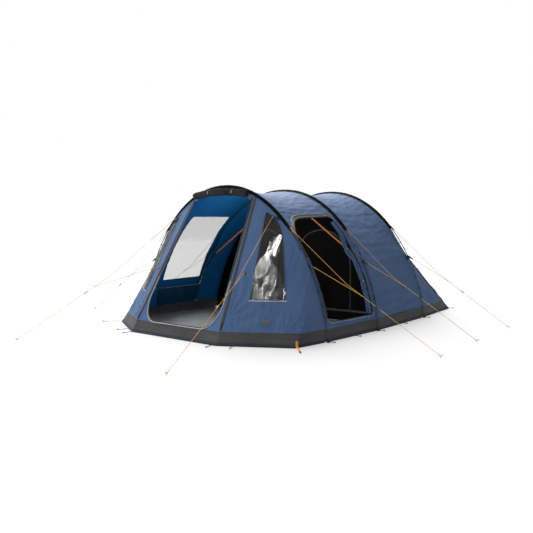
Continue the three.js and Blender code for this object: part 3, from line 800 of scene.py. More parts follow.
def sheet_mesh(name, points, thickness=CLOTH, centre=TENT_CENTRE, lowest=0.0005):
    """A thin closed sheet about a grid of points: outer side, inner side and rim."""
    normals = outward(points, centre)
    s, t = metres(points)
    rows, columns = s.shape
    index = np.arange(rows * columns).reshape(rows, columns)
    other = index + rows * columns
    both = np.concatenate([(points + normals * thickness / 2).reshape(-1, 3),
                           (points - normals * thickness / 2).reshape(-1, 3)])
    both[:, 2] = np.maximum(both[:, 2], lowest)
    rim = []
    for line, back in ((index[:, 0], other[:, 0]), (index[:, -1], other[:, -1]),
                       (index[0], other[0]), (index[-1], other[-1])):
        rim.append(np.stack([line[:-1], line[1:], back[1:], back[:-1]], -1))
    faces = np.concatenate([quads(index), quads(other), *rim])
    inner = len(quads(index))
    slots = np.zeros(len(faces), np.int32)
    slots[inner:2 * inner] = 1
    uvs = np.tile(np.stack([s.ravel(), t.ravel()], -1), (2, 1))
    return mesh_of(name, both, faces, uvs, slots)


class Cloth:
    """A cloth piece: its middle surface, its object, and ways to find places on it."""

    def __init__(self, name, points, outer, inner=None, relief=None, thickness=CLOTH,
                 centre=TENT_CENTRE):
        self.centre = centre
        s, t = metres(points)
        if relief is not None:
            points = points + outward(points, centre) * relief(s, t)[..., None]
            points[..., 2] = np.maximum(points[..., 2], 0.001)
        self.points = points
        self.normals = outward(points, centre)
        self.piece = link_piece(name, sheet_mesh(name, points, thickness, centre),
                                [outer, inner or outer])
        rows, columns = points.shape[:2]
        index = np.arange(rows * columns).reshape(rows, columns)
        self.tree = BVHTree.FromPolygons([tuple(p) for p in points.reshape(-1, 3)],
                                         [tuple(q) for q in quads(index)])

    def nearest(self, places):
        """The closest points on the cloth, with outward normals."""
        return self.found([self.tree.find_nearest(Vector(place)) for place in places])

    def struck(self, places, direction):
        """Where rays from the places along a direction meet the cloth."""
        aim = Vector(direction)
        return self.found([self.tree.ray_cast(Vector(place), aim) for place in places])

    def found(self, hits):
        points = np.array([hit[0] for hit in hits if hit[0] is not None])
        facing = np.array([hit[1] for hit in hits if hit[0] is not None])
        side = np.sign(((points - self.centre) * facing).sum(-1, keepdims=True))
        return points, facing * side

    def stands_for(self, node, held, rests_on=(), flat=None):
        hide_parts(node)
        self.declare(flat)

    def declare(self, flat=None):
        """Works out the sheet's own size laid flat and its area less its openings, and does nothing
        more with them.
        """
        if flat is None:
            down = np.linalg.norm(np.diff(self.points, axis=0), axis=2).sum(0)
            across = np.linalg.norm(np.diff(self.points, axis=1), axis=2).sum(1)
            flat = (float(down.max()), float(across.max()))
        whole = flat[0] * flat[1]
        area = sum(face.area for face in self.piece.data.polygons) / 2
        area = min(max(area, 0.31 * whole), whole)


def rounded(points, radius, steps=5):
    """An outline with its corners rounded."""
    points = [np.array(p, float) for p in points]
    made = []
    for i, corner in enumerate(points):
        before, after = points[i - 1] - corner, points[(i + 1) % len(points)] - corner
        reach_before = min(radius, 0.45 * np.linalg.norm(before))
        reach_after = min(radius, 0.45 * np.linalg.norm(after))
        start = corner + before / np.linalg.norm(before) * reach_before
        end = corner + after / np.linalg.norm(after) * reach_after
        for f in span(0, 1, steps):
            made.append((1 - f) ** 2 * start + 2 * f * (1 - f) * corner + f * f * end)
    return np.array(made)


def spaced(line, step, closed=False):
    """The same line with points at even steps."""
    line = np.asarray(line, float)
    if closed:
        line = np.vstack([line, line[:1]])
    run = run_along(line)
    count = max(int(round(run[-1] / step)), 2)
    marks = span(0, run[-1], count + 1)
    if closed:
        marks = marks[:-1]
    return np.stack([np.interp(marks, run, line[:, i]) for i in range(line.shape[1])], -1)


def prism(outline, origin, level, depth):
    """A closed cutter: an outline on an upright plane, pushed through a depth."""
    level, upright = np.array(level, float), np.array([0.0, 0.0, 1.0])
    push = np.cross(level, upright) * depth
    base = np.array(origin) + outline[:, :1] * level + outline[:, 1:] * upright
    count = len(base)
    sides = [(i, (i + 1) % count, count + (i + 1) % count, count + i) for i in range(count)]
    caps = [tuple(range(count)), tuple(range(2 * count - 1, count - 1, -1))]
    return linked("cutter", mesh_of("cutter", np.concatenate([base, base + push]), sides + caps))


def cut(piece, operation, outline, origin, level, depth):
    """Takes the outline's prism out of a piece, or keeps only what lies in it."""
    cutter = prism(outline, origin, level, depth)
    modifier = piece.modifiers.new("cut", "BOOLEAN")
    modifier.object = cutter
    modifier.operation = operation
    modifier.solver = "EXACT"
    bpy.context.view_layer.update()
    graph = bpy.context.evaluated_depsgraph_get()
    mesh = bpy.data.meshes.new_from_object(piece.evaluated_get(graph), depsgraph=graph)
    piece.modifiers.clear()
    piece.data = mesh
    bpy.data.objects.remove(cutter)
    mesh.shade_smooth()
    mesh.set_sharp_from_angle(angle=math.radians(40))


def unit(vectors):
    return vectors / np.maximum(np.linalg.norm(vectors, axis=-1, keepdims=True), 1e-12)


def tangents(path, closed):
    if closed:
        return unit(np.roll(path, -1, axis=0) - np.roll(path, 1, axis=0))
    return unit(np.gradient(path, axis=0))


def swept(name, path, ups, sections, material, closed=False, sharp=50):
    """A closed skin through one section at each point of a path. Sections are (across, up)."""
    path = np.asarray(path, float)
    ahead = tangents(path, closed)
    across = unit(np.cross(ahead, ups))
    rise = unit(np.cross(across, ahead))
    sections = np.asarray(sections, float)
    if sections.ndim == 2:
        sections = np.repeat(sections[None], len(path), axis=0)
    count, around = len(path), sections.shape[1]
    sideways = across[:, None] * sections[..., :1]
    points = path[:, None] + sideways + rise[:, None] * sections[..., 1:]
    index = np.arange(count * around).reshape(count, around)
    rows = np.vstack([index, index[:1]]) if closed else index
    loop = np.hstack([rows, rows[:, :1]])
    faces = [tuple(q) for q in quads(loop)]
    if not closed:
        faces += [tuple(index[0][::-1]), tuple(index[-1])]
    lengths = np.meshgrid(run_along(path), run_along(sections[0]), indexing="ij")
    uvs = np.stack(lengths, -1).reshape(-1, 2)
    mesh = mesh_of(name, points.reshape(-1, 3), faces, uvs, sharp=sharp)
    return link_piece(name, mesh, [material])


def ribbon(name, path, ups, width, thickness, material, lift=0.0, closed=False):
    """A flat band along a path. Its up is one direction, or one at each point."""
    half, top = width / 2, thickness
    edge = min(thickness, width / 6)
    section = [(-half, -thickness / 2), (-half, top / 2), (-half + edge, top), (half - edge, top),
               (half, top / 2), (half, -thickness / 2)]
    lifted = np.asarray(path) + np.asarray(ups) * lift
    return swept(name, lifted, ups, section, material, closed)


def tapered(widths, low, top, bevel):
    """Flat sections of changing width, from a low side to a top side."""
    return [[(-width / 2, low), (-width / 2 + bevel, top),
             (width / 2 - bevel, top), (width / 2, low)] for width in widths]


def steady_ups(path, closed=False, start=(0.0, 0.0, 1.0)):
    """Up directions that turn as little as possible along a path."""
    ahead = tangents(np.asarray(path, float), closed)
    up = np.array(start, float)
    if abs(np.dot(up, ahead[0])) > 0.9:
        up = np.array([1.0, 0.0, 0.0])
    made = []
    for direction in ahead:
        up = up - direction * np.dot(up, direction)
        up /= np.linalg.norm(up)
        made.append(up)
    return np.array(made)


def circle(radius, sides):
    return polar(radius, whole_turn(sides))


def tube(name, path, radius, material, sides=10, closed=False):
    path = np.asarray(path, float)
    return swept(name, path, steady_ups(path, closed), circle(radius, sides), material, closed)


def smooth_line(points, count):
    """A smooth line through a few points, by Catmull-Rom."""
    p = np.asarray(points, float)
    p = np.vstack([2 * p[0] - p[1], p, 2 * p[-1] - p[-2]])
    made = []
    for f in span(0, len(p) - 3 - 1e-9, count):
        i, t = int(f) + 1, f - int(f)
        a, b, c, d = p[i - 1], p[i], p[i + 1], p[min(i + 2, len(p) - 1)]
        made.append(0.5 * (2 * b + (c - a) * t + (2 * a - 5 * b + 4 * c - d) * t * t
                           + (3 * b - a - 3 * c + d) * t ** 3))
    return np.array(made)


def both_sides(build):
    """Calls build with the side's name and sign."""
    for side, sign in SIDES:
        build(side, sign)


def sided(points, sign):
    return np.asarray(points, float) * np.array([sign, 1.0, 1.0])


# ---------------------------------------------------------------- guy lines


def curve_piece(name, route, diameter, material):
    data = bpy.data.curves.new(name, "CURVE")
    data.dimensions = "3D"
    data.bevel_depth = diameter / 2
    data.bevel_resolution = 3
    data.use_fill_caps = True
    spline = data.splines.new("POLY")
    spline.points.add(len(route) - 1)
    for point, place in zip(spline.points, route):
        point.co = (*place, 1.0)
    data.materials.append(material)
    return riding(name, data, material)


def knot(name, place, ahead, size=0.0055):
    """A small overhand knot: a closed trefoil of cord about the line."""
    angle = whole_turn(48)
    x = (np.sin(angle) + 2 * np.sin(2 * angle)) / 3
    y = (np.cos(angle) - 2 * np.cos(2 * angle)) / 3
    z = -np.sin(3 * angle) * 0.55
    ahead = np.asarray(ahead) / np.linalg.norm(ahead)
    side = unit(np.cross(ahead, (0.0, 0.0, 1.0)))
    up = np.cross(side, ahead)
    path = np.asarray(place) + size * (x[:, None] * side + y[:, None] * up + z[:, None] * ahead)
    return tube(name, path, KNOT_CORD_RADIUS, LOOKS.cord, 7, closed=True)


def guy_points():
    for pole in POLES:
        x, y = GUY_PEGS[pole.name]
        yield (pole.name, hoop(pole, SLEEVE_TIE, -TIE_STAND_OFF),
               hoop(pole, GUY_TAB, -TIE_STAND_OFF), at(*GUY_MEETS[pole.name]), at(x, y))
    yield "bow", at(*BOW_UPPER), at(*BOW_LOWER), at(*BOW_MEET), at(*BOW_PEG)


def build_guy(name, side, upper, lower, meet, peg):
    peg_end = peg + (0, 0, PEG_TIE_HEIGHT)
    ahead = unit(peg_end - meet)
    peg_end = peg_end - ahead * PEG_STAND_OFF
    branch = meet + (peg_end - meet) * BRANCH_END
    main = np.vstack([span(upper, meet, 12)[:-1], span(meet, peg_end, 16)])
    leg = span(lower, branch, 16)
    full = f"{name}_{side}"
    line = curve_piece(f"guyline_{full}", main, CORD_DIAMETER, LOOKS.cord)
    lower_leg = curve_piece(f"guyline_lower_{full}", leg, CORD_DIAMETER, LOOKS.cord)
    down, in_leg = meet - upper, branch - lower
    top_knot = knot(f"knot_upper_{full}", upper + unit(down) * KNOT_STAND_OFF, down)
    low_knot = knot(f"knot_lower_{full}", lower + unit(in_leg) * KNOT_STAND_OFF, in_leg)
    join_knot = knot(f"knot_join_{full}", branch, ahead, 0.0062)
    end_knot = knot(f"knot_peg_{full}", peg_end - ahead * 0.02, ahead)
    angle = whole_turn(24)
    level = unit(ahead * (1, 1, 0))
    across = np.cross(level, (0, 0, 1))
    ring = (peg + (0, 0, PEG_TIE_HEIGHT) + level * 0.001
            + np.cos(angle)[:, None] * level * 0.012 + np.sin(angle)[:, None] * across * 0.0075)
    loop = tube(f"peg_loop_{full}", ring, 0.0017, LOOKS.cord, 7, closed=True)
    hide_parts(f"guy_{full}")
    tuple(upper)
    tuple(lower)
    return upper, lower


def build_guys():
    for name, upper, lower, meet, peg in guy_points():
        both_sides(lambda side, sign: build_guy(
            name, side, *(sided(p, sign) for p in (upper, lower, meet, peg))))


# ---------------------------------------------------------------- poles, sleeves and fittings


def dress_cad_nodes():
    """Better materials for the CAD nodes that stay."""
    for name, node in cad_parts.items():
        if name.startswith("pole_"):
            chosen = LOOKS.pole
        elif name.startswith(("peg_", "front_zip", "side_zip")):
            chosen = LOOKS.steel
        elif name.startswith(("runner_", "foot_")):
            chosen = LOOKS.plastic
        else:
            continue
        for material_slot in node.material_slots:
            material_slot.material = chosen


def build_sleeve(pole):
    """The sewn sleeve: flat along its edges and round over the pole."""
    places = span(-SLEEVE_END, SLEEVE_END, 150)
    path = hoop(pole, places)
    ups = unit(hoop(pole, places, -0.01) - path)
    front = OUTER_SLEEVE_EDGE if pole is FRONT else SLEEVE_EDGE
    back = OUTER_SLEEVE_EDGE if pole is REAR else SLEEVE_EDGE
    profile = [(-back, -0.0150), (-back * 0.6, -0.0130), (-0.0125, -0.0060), (-0.0105, 0.0015),
               (-0.0070, 0.0078), (0.0, 0.0102), (0.0070, 0.0078), (0.0105, 0.0015),
               (0.0125, -0.0060), (front * 0.6, -0.0130), (front, -0.0150), (front, -0.0175),
               (0.0, -0.0180), (-back, -0.0175)]
    sections = np.repeat(np.array(profile)[None], len(places), axis=0)
    run = span(0, 2.9, len(places))
    for column in range(1, 10):
        wave = ripple(run, np.full_like(run, column * 0.02), 0.045, 0.03, 3.0 + pole.height)
        sections[:, column, 1] += 0.0016 * wave
        sections[:, column, 0] += 0.0014 * np.roll(wave, 9)
    piece = swept(f"sleeve_cover_{pole.name}", path, ups, sections, LOOKS.sleeve, sharp=70)
    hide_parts(f"sleeve_{pole.name}")


def ring_about(centre, ahead, radius, count=20):
    side = unit(np.cross(ahead, (0.0, 1.0, 0.31)))
    up = np.cross(ahead, side)
    angle = whole_turn(count)[:, None]
    return centre + radius * (np.cos(angle) * side + np.sin(angle) * up)


def build_clip(pole, side, sign, number, place):
    """A plastic hook round the pole, held to the cloth by a short webbing tab."""
    centre = hoop(pole, sign * place)
    ahead = unit(hoop(pole, sign * (place + 0.01)) - centre)
    inward = unit(hoop(pole, sign * place, 0.01) - centre)
    gap = float(cloth_inset(place, pole.gather))
    full = f"{pole.name}_{side}_{number}"
    tube(f"clip_ring_{full}", ring_about(centre, ahead, POLE_RADIUS + 0.0032), 0.0028,
         LOOKS.plastic, 8, closed=True)
    reach = span(POLE_RADIUS + 0.003, gap - 0.001, 6)[:, None]
    path = centre + inward * reach
    ribbon(f"clip_tab_{full}", path, ahead, 0.018, 0.003, LOOKS.webbing)
    block = centre + inward * span(POLE_RADIUS + 0.002, POLE_RADIUS + 0.014, 4)[:, None]
    ribbon(f"clip_block_{full}", block, ahead, 0.022, 0.0065, LOOKS.plastic, lift=-0.002)


def build_end_band():
    """The sleeve's inner edge, sewn flat on the end wall along the front hoop."""
    places = span(-SLEEVE_EDGE_END, SLEEVE_EDGE_END, 140)
    station = BAY.station_of(places)
    top, _ = BAY.line(station)
    lower = BAY.at_height(station, top[:, 2] - 0.030)
    facing = unit(np.cross(tangents(top, False), lower - top))
    facing = facing * np.sign(-facing[:, 1:2])
    down = unit(lower - top)
    path = top + down * 0.009 + facing * 0.006
    ribbon("sleeve_edge_front", path, facing, 0.022, 0.0030, LOOKS.sleeve)


def build_pole_fittings(pole):
    def each(side, sign):
        for number, place in enumerate(CLIP_PLACES):
            build_clip(pole, side, sign, number, place)
        places = sign * span(SLEEVE_END - 0.012, SLEEVE_END + 0.016, 9)
        end = hoop(pole, places)
        ups = unit(hoop(pole, places, -0.01) - end)
        colour = LOOKS.orange if pole is FRONT else LOOKS.webbing
        ribbon(f"sleeve_end_web_{pole.name}_{side}", end, ups, 0.024, 0.0025, colour, lift=0.0105)
        tie = hoop(pole, sign * SLEEVE_TIE, -TIE_STAND_OFF)
        back = hoop(pole, sign * SLEEVE_END, -0.012)
        cord_loop(f"guy_loop_{pole.name}_{side}", back, tie, (0, 0.006, 0.004), 24)
        build_guy_tab(pole, side, sign)
        build_foot(pole, side, sign)
        build_ferrules(pole, side, sign)

    both_sides(each)


def cord_loop(name, root, tie, bulge, count):
    """A small sewn loop that leaves the cloth at its root and holds a cord at the tie."""
    middle = (root + tie) / 2
    path = smooth_line([root, middle + bulge, tie, middle - np.asarray(bulge), root], count)
    tube(name, path, SMALL_LOOP_RADIUS, LOOKS.orange, 7)


def toggle(name, path):
    """A small barrel toggle along a short path."""
    radii = [0.0028, 0.0044, 0.0050, 0.0046, 0.0040, 0.0046, 0.0050, 0.0044, 0.0028]
    swept(name, path, steady_ups(path, start=(0, 1, 0)),
          np.array([circle(radius, 12) for radius in radii]), LOOKS.toggle)


def build_guy_tab(pole, side, sign):
    """A tapered dark-blue tab from the cloth out to the lower guy tie and along the cord."""
    tie = hoop(pole, sign * GUY_TAB, -TIE_STAND_OFF)
    root = hoop(pole, sign * GUY_TAB, LOWER_INSET - 0.002)
    away = -1.0 if pole is REAR else 1.0
    meet = sided(at(*GUY_MEETS[pole.name]), sign)
    tip = tie + unit(meet - tie) * 0.070 - (0, 0, 0.012)
    path = smooth_line([root + (0, away * 0.050, 0), root + (sign * 0.014, away * 0.020, 0.004),
                        tie - (0, 0, 0.008), tip], 18)
    ahead = unit(hoop(pole, sign * 0.64) - hoop(pole, sign * 0.62))
    ups = unit(np.cross(tangents(path, False), ahead))
    sections = tapered(span(0.084, 0.012, len(path)), -0.001, 0.001, 0.0)
    swept(f"guy_tab_{pole.name}_{side}", path, ups, sections, LOOKS.lining_dark)


def build_foot(pole, side, sign):
    """The webbing strap that holds a pole's foot cup to the hem, with its peg loop."""
    cup = np.array([sign * (pole.half_width - 0.001), pole.foot_y, 0.0])
    inner = cup + (-sign * 0.055, 0, 0.052)
    path = smooth_line([inner, cup + (-sign * 0.030, 0, 0.030), cup + (-sign * 0.006, 0, 0.0475),
                        cup + (sign * 0.018, 0, 0.026), cup + (sign * 0.030, 0, 0.006)], 16)
    across = np.cross(tangents(path, False), (0.0, 1.0, 0.0))
    ups = unit(across * np.sign(across[:, 2:] + 1e-9))
    ribbon(f"foot_strap_{pole.name}_{side}", path, ups, 0.024, 0.0022, LOOKS.webbing)
    loop_peg(f"foot_{pole.name}_{side}", cup + (sign * 0.022, 0.0, 0.010),
             cup + (sign * 0.085, 0.03, 0))


def build_ferrules(pole, side, sign):
    """Short metal sleeves where two pole sections meet, on the bare part of the pole."""
    for number, place in enumerate(FERRULE_PLACES):
        places = sign * span(place - 0.010, place + 0.010, 9)
        path = hoop(pole, places)
        radii = [0.0066, 0.0078, 0.0080, 0.0080, 0.0080, 0.0080, 0.0080, 0.0078, 0.0066]
        sections = np.array([circle(radius, 14) for radius in radii])
        swept(f"ferrule_{pole.name}_{side}_{number}", path, steady_ups(path), sections,
              LOOKS.dark_steel)


def loop_peg(name, start, end):
    """A black elastic loop from the hem to a small hooked peg head on the ground."""
    start, end = np.asarray(start, float), np.asarray(end, float)
    ahead = unit((end - start) * (1, 1, 0))
    across = np.array([-ahead[1], ahead[0], 0.0])
    angle = whole_turn(32)
    middle, half = (start + end) / 2, np.linalg.norm((end - start)[:2]) / 2
    along = np.cos(angle)[:, None]
    height = start[2] * (1 - along) / 2 + 0.006 * (1 + along) / 2
    path = middle + along * half * ahead + np.sin(angle)[:, None] * 0.008 * across
    path[:, 2] = height[:, 0] + 0.0035
    tube(f"elastic_{name}", path, 0.0024, LOOKS.elastic, 7, closed=True)
    hook = ((0, 0.0035), (0, 0.010), (0.004, 0.018), (0.016, 0.017), (0.021, 0.010))
    shaft = smooth_line([end - ahead * back + (0, 0, height) for back, height in hook], 14)
    tube(f"hem_peg_{name}", shaft, 0.0034, LOOKS.plastic, 9)


# ---------------------------------------------------------------- outer cloth


def tunnel_relief(seed):
    def relief(s, t):
        along = t / t.max()
        middle = fade(along, 0.5)
        edge = fade(along, 0.06)
        place = np.abs(s / s.max() * 2 - 1)
        sag = -SAG * np.sin(math.pi * along) * np.clip(1.1 - 1.2 * place, 0.12, 1)
        broad = 0.007 * ripple(s, t, 0.42, 0.60, seed) * middle
        tension = 0.006 * ripple(s, t, 0.070, 0.75, seed + 1) * edge * (0.35 + place)
        creases = 0.006 * ridges(s + 0.35 * t, t, 0.10, 0.55, seed + 2) * edge
        near_hoop = 0.004 * ripple(s, t, 0.045, 0.25, seed + 3) * edge * (1 - middle)
        pulls = sum(0.008 * rays(s, t, tie, 15, 0.22, seed) for tie in tie_places(s, t))
        return sag + broad + tension + creases + near_hoop + pulls * edge

    return relief


def tie_places(s, t):
    """Where the guy tabs and clips pull a tunnel sheet: near its hoops, on both sides."""
    girth, length = s.max(), t.max()
    share = lambda place: (1 + place / SKIRT_TOP) / 2
    for place in (SLEEVE_END, CLIP_TAB):
        for sign in (-1, 1):
            for end in (0.01, length - 0.01):
                yield girth * share(sign * place), end


def shrunk(outline, gap):
    """The outline drawn in towards its middle by about a gap."""
    middle = outline.mean(0)
    away = outline - middle
    return middle + away * (1 - gap / np.linalg.norm(away, axis=1, keepdims=True))


def extent(outline, lean=1.0):
    """An outline's width and height; lean is how much longer a sloping wall makes the height."""
    width, height = outline.max(0) - outline.min(0)
    return float(width), float(height * lean)


def film_relief(seed, wrinkled=False):
    def relief(s, t):
        edge = within(s, t, 0.08, 0.08)
        broad = 0.0014 * ripple(s, t, 0.26, 0.30, seed)
        low = np.clip((0.86 - t) / 0.12, 0, 1) if wrinkled else 0.0
        upright = 0.0011 * ripple(s, t, 0.045, 0.50, seed + 2) * low
        return (broad + 0.0003 * ripple(s, t, 0.05, 0.16, seed + 1) + upright) * edge

    return relief


def side_spots(outline, x=FAR_OUT):
    """Points far out at one side with an outline's y and z."""
    return np.stack([np.full(len(outline), x), outline[:, 0] + ORIGIN_Y, outline[:, 1]], -1)


def struck_from_front(cloth, line, y):
    """Where a line in (x, z) meets the cloth when it is pushed back from a plane at y."""
    spots = np.stack([line[:, 0], np.full(len(line), y), line[:, 1]], -1)
    return cloth.struck(spots, (0, 1, 0))


def tunnel_fly(name, front, back, columns, seed):
    """The fly between two hoops, from one mud band over the top to the other."""
    surface = lambda place, along: tunnel(front, back, place, along)
    points = grid(surface, span(-SKIRT_TOP, SKIRT_TOP, 230), span(0, 1, columns))
    return Cloth(name, points, LOOKS.fly, LOOKS.lit_through_inside, tunnel_relief(seed))


def build_living_fly():
    fly = tunnel_fly("fly_living", FRONT, MIDDLE, 56, 1.0)
    doorway = rounded(SIDE_DOORWAY, CORNER_ROUNDING)
    cut(fly.piece, "DIFFERENCE", doorway, at(0.4, 0), (0, 1, 0), 2.0)
    pane = rounded(LIVING_PANE, CORNER_ROUNDING)
    cut(fly.piece, "DIFFERENCE", pane, at(-2.4, 0), (0, 1, 0), 2.0)
    fly.stands_for("living_fly", "stretched", ["sleeve_cover_front", "sleeve_cover_middle"])

    surface = lambda place, along: tunnel(FRONT, MIDDLE, place, along)
    left = grid(surface, span(-SKIRT_TOP, -0.2, 60), span(0.1, 1, 40))
    film = Cloth("window_living", left, LOOKS.film, relief=film_relief(5.0), thickness=FILM)
    cut(film.piece, "INTERSECT", shrunk(pane, PANE_GAP), at(-2.4, 0), (0, 1, 0), 2.0)
    film.stands_for("living_window", "stretched", ["fly_living"], extent(pane))
    border = spaced(pane, 0.03, closed=True)
    path, ups = fly.struck(side_spots(border, -FAR_OUT), (1, 0, 0))
    ribbon("window_frame_living", path, ups, 0.020, FRAME_THICKNESS, LOOKS.fly_seam, 0.0005,
           closed=True)
    ribbon("window_frame_living_inside", path, -ups, 0.020, FRAME_THICKNESS, LOOKS.lit_through_inside, 0.0005,
           closed=True)
    build_side_door(fly, doorway)
    return fly


def build_side_door(fly, doorway):
    border = spaced(doorway, 0.022, closed=True)
    path, ups = fly.struck(side_spots(border), (-1, 0, 0))
    ribbon("side_door_zip_tape", path, ups, 0.026, ZIP_TAPE_THICKNESS, LOOKS.zip_tape, 0.0004,
           closed=True)
    middle = np.array([path[:, 1].mean(), path[:, 2].mean()])

    def arc(first, last, shift):
        """Doorway points from one place to another, moved away from its middle."""
        line = spaced(rounded(SIDE_DOORWAY, CORNER_ROUNDING)[first:last], 0.02)
        away = unit(line - (middle - (ORIGIN_Y, 0)))
        return fly.struck(side_spots(line + away * shift), (-1, 0, 0))

    top, top_ups = arc(34, 70, 0.034)
    ribbon("side_door_flashing", top, top_ups, 0.030, 0.0040, LOOKS.flashing, 0.0010)
    gutter = top + top_ups * 0.006
    tube("side_door_gutter", gutter, 0.0060, LOOKS.flashing, 8)
    coil, coil_ups = arc(30, 70, 0.010)
    tube("side_door_zip", coil + coil_ups * 0.0022, 0.0030, LOOKS.piping, 8)
    low, low_ups = arc(2, 26, 0.004)
    # The lip along the doorway's foot is painted pale blue: a painted highlight of light catching
    # its edge.
    tube("side_door_lip", low + low_ups * 0.007, 0.0065, LOOKS.lip_highlight, 10)
    low_coil, low_coil_ups = arc(2, 26, -0.010)
    tube("side_door_low_zip", low_coil + low_coil_ups * 0.002, 0.0026, LOOKS.zip_coil, 8)


def build_bedroom_fly():
    fly = tunnel_fly("fly_bedroom", MIDDLE, REAR, 76, 4.0)
    fly.stands_for("bedroom_fly", "stretched", ["sleeve_cover_middle", "sleeve_cover_rear"])
    return fly


def back_relief(s, t):
    down = t / t.max()
    edge = within(s, t, 0.04, 0.04)
    waves = 0.009 * ripple(s, t, 0.35, 0.8, 8.0) + 0.007 * ridges(s, t + 0.3 * s, 0.12, 0.7, 8.5)
    return (waves - 0.02 * np.sin(math.pi * down)) * edge


def stations(last, corner, step):
    side = np.concatenate([np.arange(corner, last, step), [last]])
    face = span(-corner, corner, int(2 * corner / step))[1:-1]
    return np.concatenate([-side[::-1], face, side])


def build_rear():
    back = Cloth("fly_rear", grid(BACK.above_skirt, stations(0.885, REAR_STATION, 0.012),
                                  span(0, 1, 70)), LOOKS.fly, LOOKS.lit_through_inside, back_relief)
    back.stands_for("rear_fly", "stretched", ["sleeve_cover_rear"])

    def corner_seam(side, sign):
        line = BACK.at_height(sign * REAR_STATION, span(0.16, 1.28, 40))
        path, ups = back.nearest(line)
        ribbon(f"rear_corner_tape_{side}", path, ups, 0.030, 0.0024, LOOKS.tape, 0.0010)

    both_sides(corner_seam)
    for number, height in enumerate((0.62, 1.18)):
        line = BACK.at_height(span(-REAR_STATION, REAR_STATION, 60), np.full(60, height))
        path, ups = back.nearest(line)
        ribbon(f"rear_seam_{number}", path, ups, 0.012, 0.0014, LOOKS.fly_seam, 0.0008)
    return back


def bay_relief(seed):
    def relief(s, t):
        run = s / s.max()
        edge = within(s, t, 0.05, 0.04)
        ripples = 0.0080 * ripple(s, t, 0.055, 1.1, seed)
        ripples = ripples + 0.0045 * ripple(s, t, 0.026, 0.8, seed + 1)
        broad = 0.0120 * ripple(s, t, 0.40, 0.9, seed + 2)
        pulls = 0.0110 * rays(s, t, (0.06, 0.10), 13, 0.24, 1.0)
        pulls = pulls + 0.0080 * rays(s, t, (s.max() * 0.62, 0.03), 15, 0.18)
        pulls = pulls + 0.0080 * rays(s, t, (0.32, t.max() * 0.90), 13, 0.14)
        slanted = 0.0100 * ridges(s + 0.55 * t, t, 0.11, 0.5, seed + 3) * np.exp(-t / 0.45)
        return (ripples * (0.5 + run) + broad + pulls + slanted) * edge

    return relief


def build_bay_sides():
    first = span(BAY_STATION + 0.002, BAY_TURN, 60)
    last = span(BAY_TURN, 0.925, 18)[1:]
    run = np.array(BAY_CORNER) - np.array(BAY_FRONT)
    along = np.array([*unit(run), 0.0])
    push = np.array([along[1], -along[0], 0.0])
    cloths = {}

    def each(side, sign):
        points = sided(grid(BAY.above_skirt, np.concatenate([first, last]), span(0, 1, 90)), sign)
        panel = Cloth(f"bay_side_{side}", points, LOOKS.fly, LOOKS.lit_through_inside, bay_relief(11.0))
        origin = at(*BAY_FRONT) - push * 1.2
        pane = rounded(BAY_PANE, 0.02)
        plane = sided(origin, sign), sided(along, sign), 2.2 * sign
        cut(panel.piece, "DIFFERENCE", pane, *plane)
        panel.stands_for(f"bay_panel_{side}", "stretched", ["sleeve_cover_front"])
        fine = sided(grid(BAY.above_skirt, span(BAY_STATION + 0.01, BAY_TURN, 190),
                          span(0, 1, 90)), sign)
        film = Cloth(f"window_bay_{side}", fine, LOOKS.film_slack,
                     relief=film_relief(15.0, wrinkled=True), thickness=FILM)
        cut(film.piece, "INTERSECT", shrunk(pane, PANE_GAP), *plane)
        film.stands_for(f"bay_window_{side}", "stretched", [f"bay_side_{side}"], extent(pane, 1.15))

        def on_panel(line):
            spots = origin + push * 2.2 + line[:, :1] * along + line[:, 1:] * (0, 0, 1)
            return panel.struck(sided(spots, sign), sided(-push, sign))

        path, ups = on_panel(spaced(pane, 0.02, closed=True))
        ribbon(f"window_frame_bay_{side}", path, ups, 0.016, 0.0020, LOOKS.fly_seam, 0.0005,
               closed=True)
        path, ups = on_panel(span((0.325, 0.498), (0.779, 0.498), 24))
        ribbon(f"window_weld_bay_{side}", path, ups, 0.013, 0.0022, LOOKS.weld, 0.0010)
        cloths[side] = panel

    both_sides(each)
    return cloths


def door_relief(s, t):
    edge = within(s, t, 0.02, 0.03)
    return (0.0040 * ripple(s, t, 0.07, 0.7, 21.0) + 0.0045 * ripple(s, t, 0.5, 0.3, 22.0)) * edge


def doorway_side(count=30):
    """The doorway's right half in (x, z), from the middle of the lintel down to the sill."""
    edge = lambda height: BAY.at_height(DOOR_EDGE * BAY_STATION, height)[0]
    top = edge(DOOR_TOP)
    lintel = [(x, float(hoop(FRONT, SEAM_ON_HOOP * x / 0.52)[2]) - DOOR_LINTEL)
              for x in span(0, top - 0.01, 5)]
    foot = edge(DOOR_CORNER)
    sides = [(top, DOOR_TOP), (foot, DOOR_CORNER)]
    angles = span(0, math.pi / 2, count)[1:]
    drop = DOOR_CORNER - DOOR_SILL
    corner = [(0.4 + (foot - 0.4) * math.cos(a), DOOR_CORNER - drop * math.sin(a)) for a in angles]
    return lintel, sides, corner


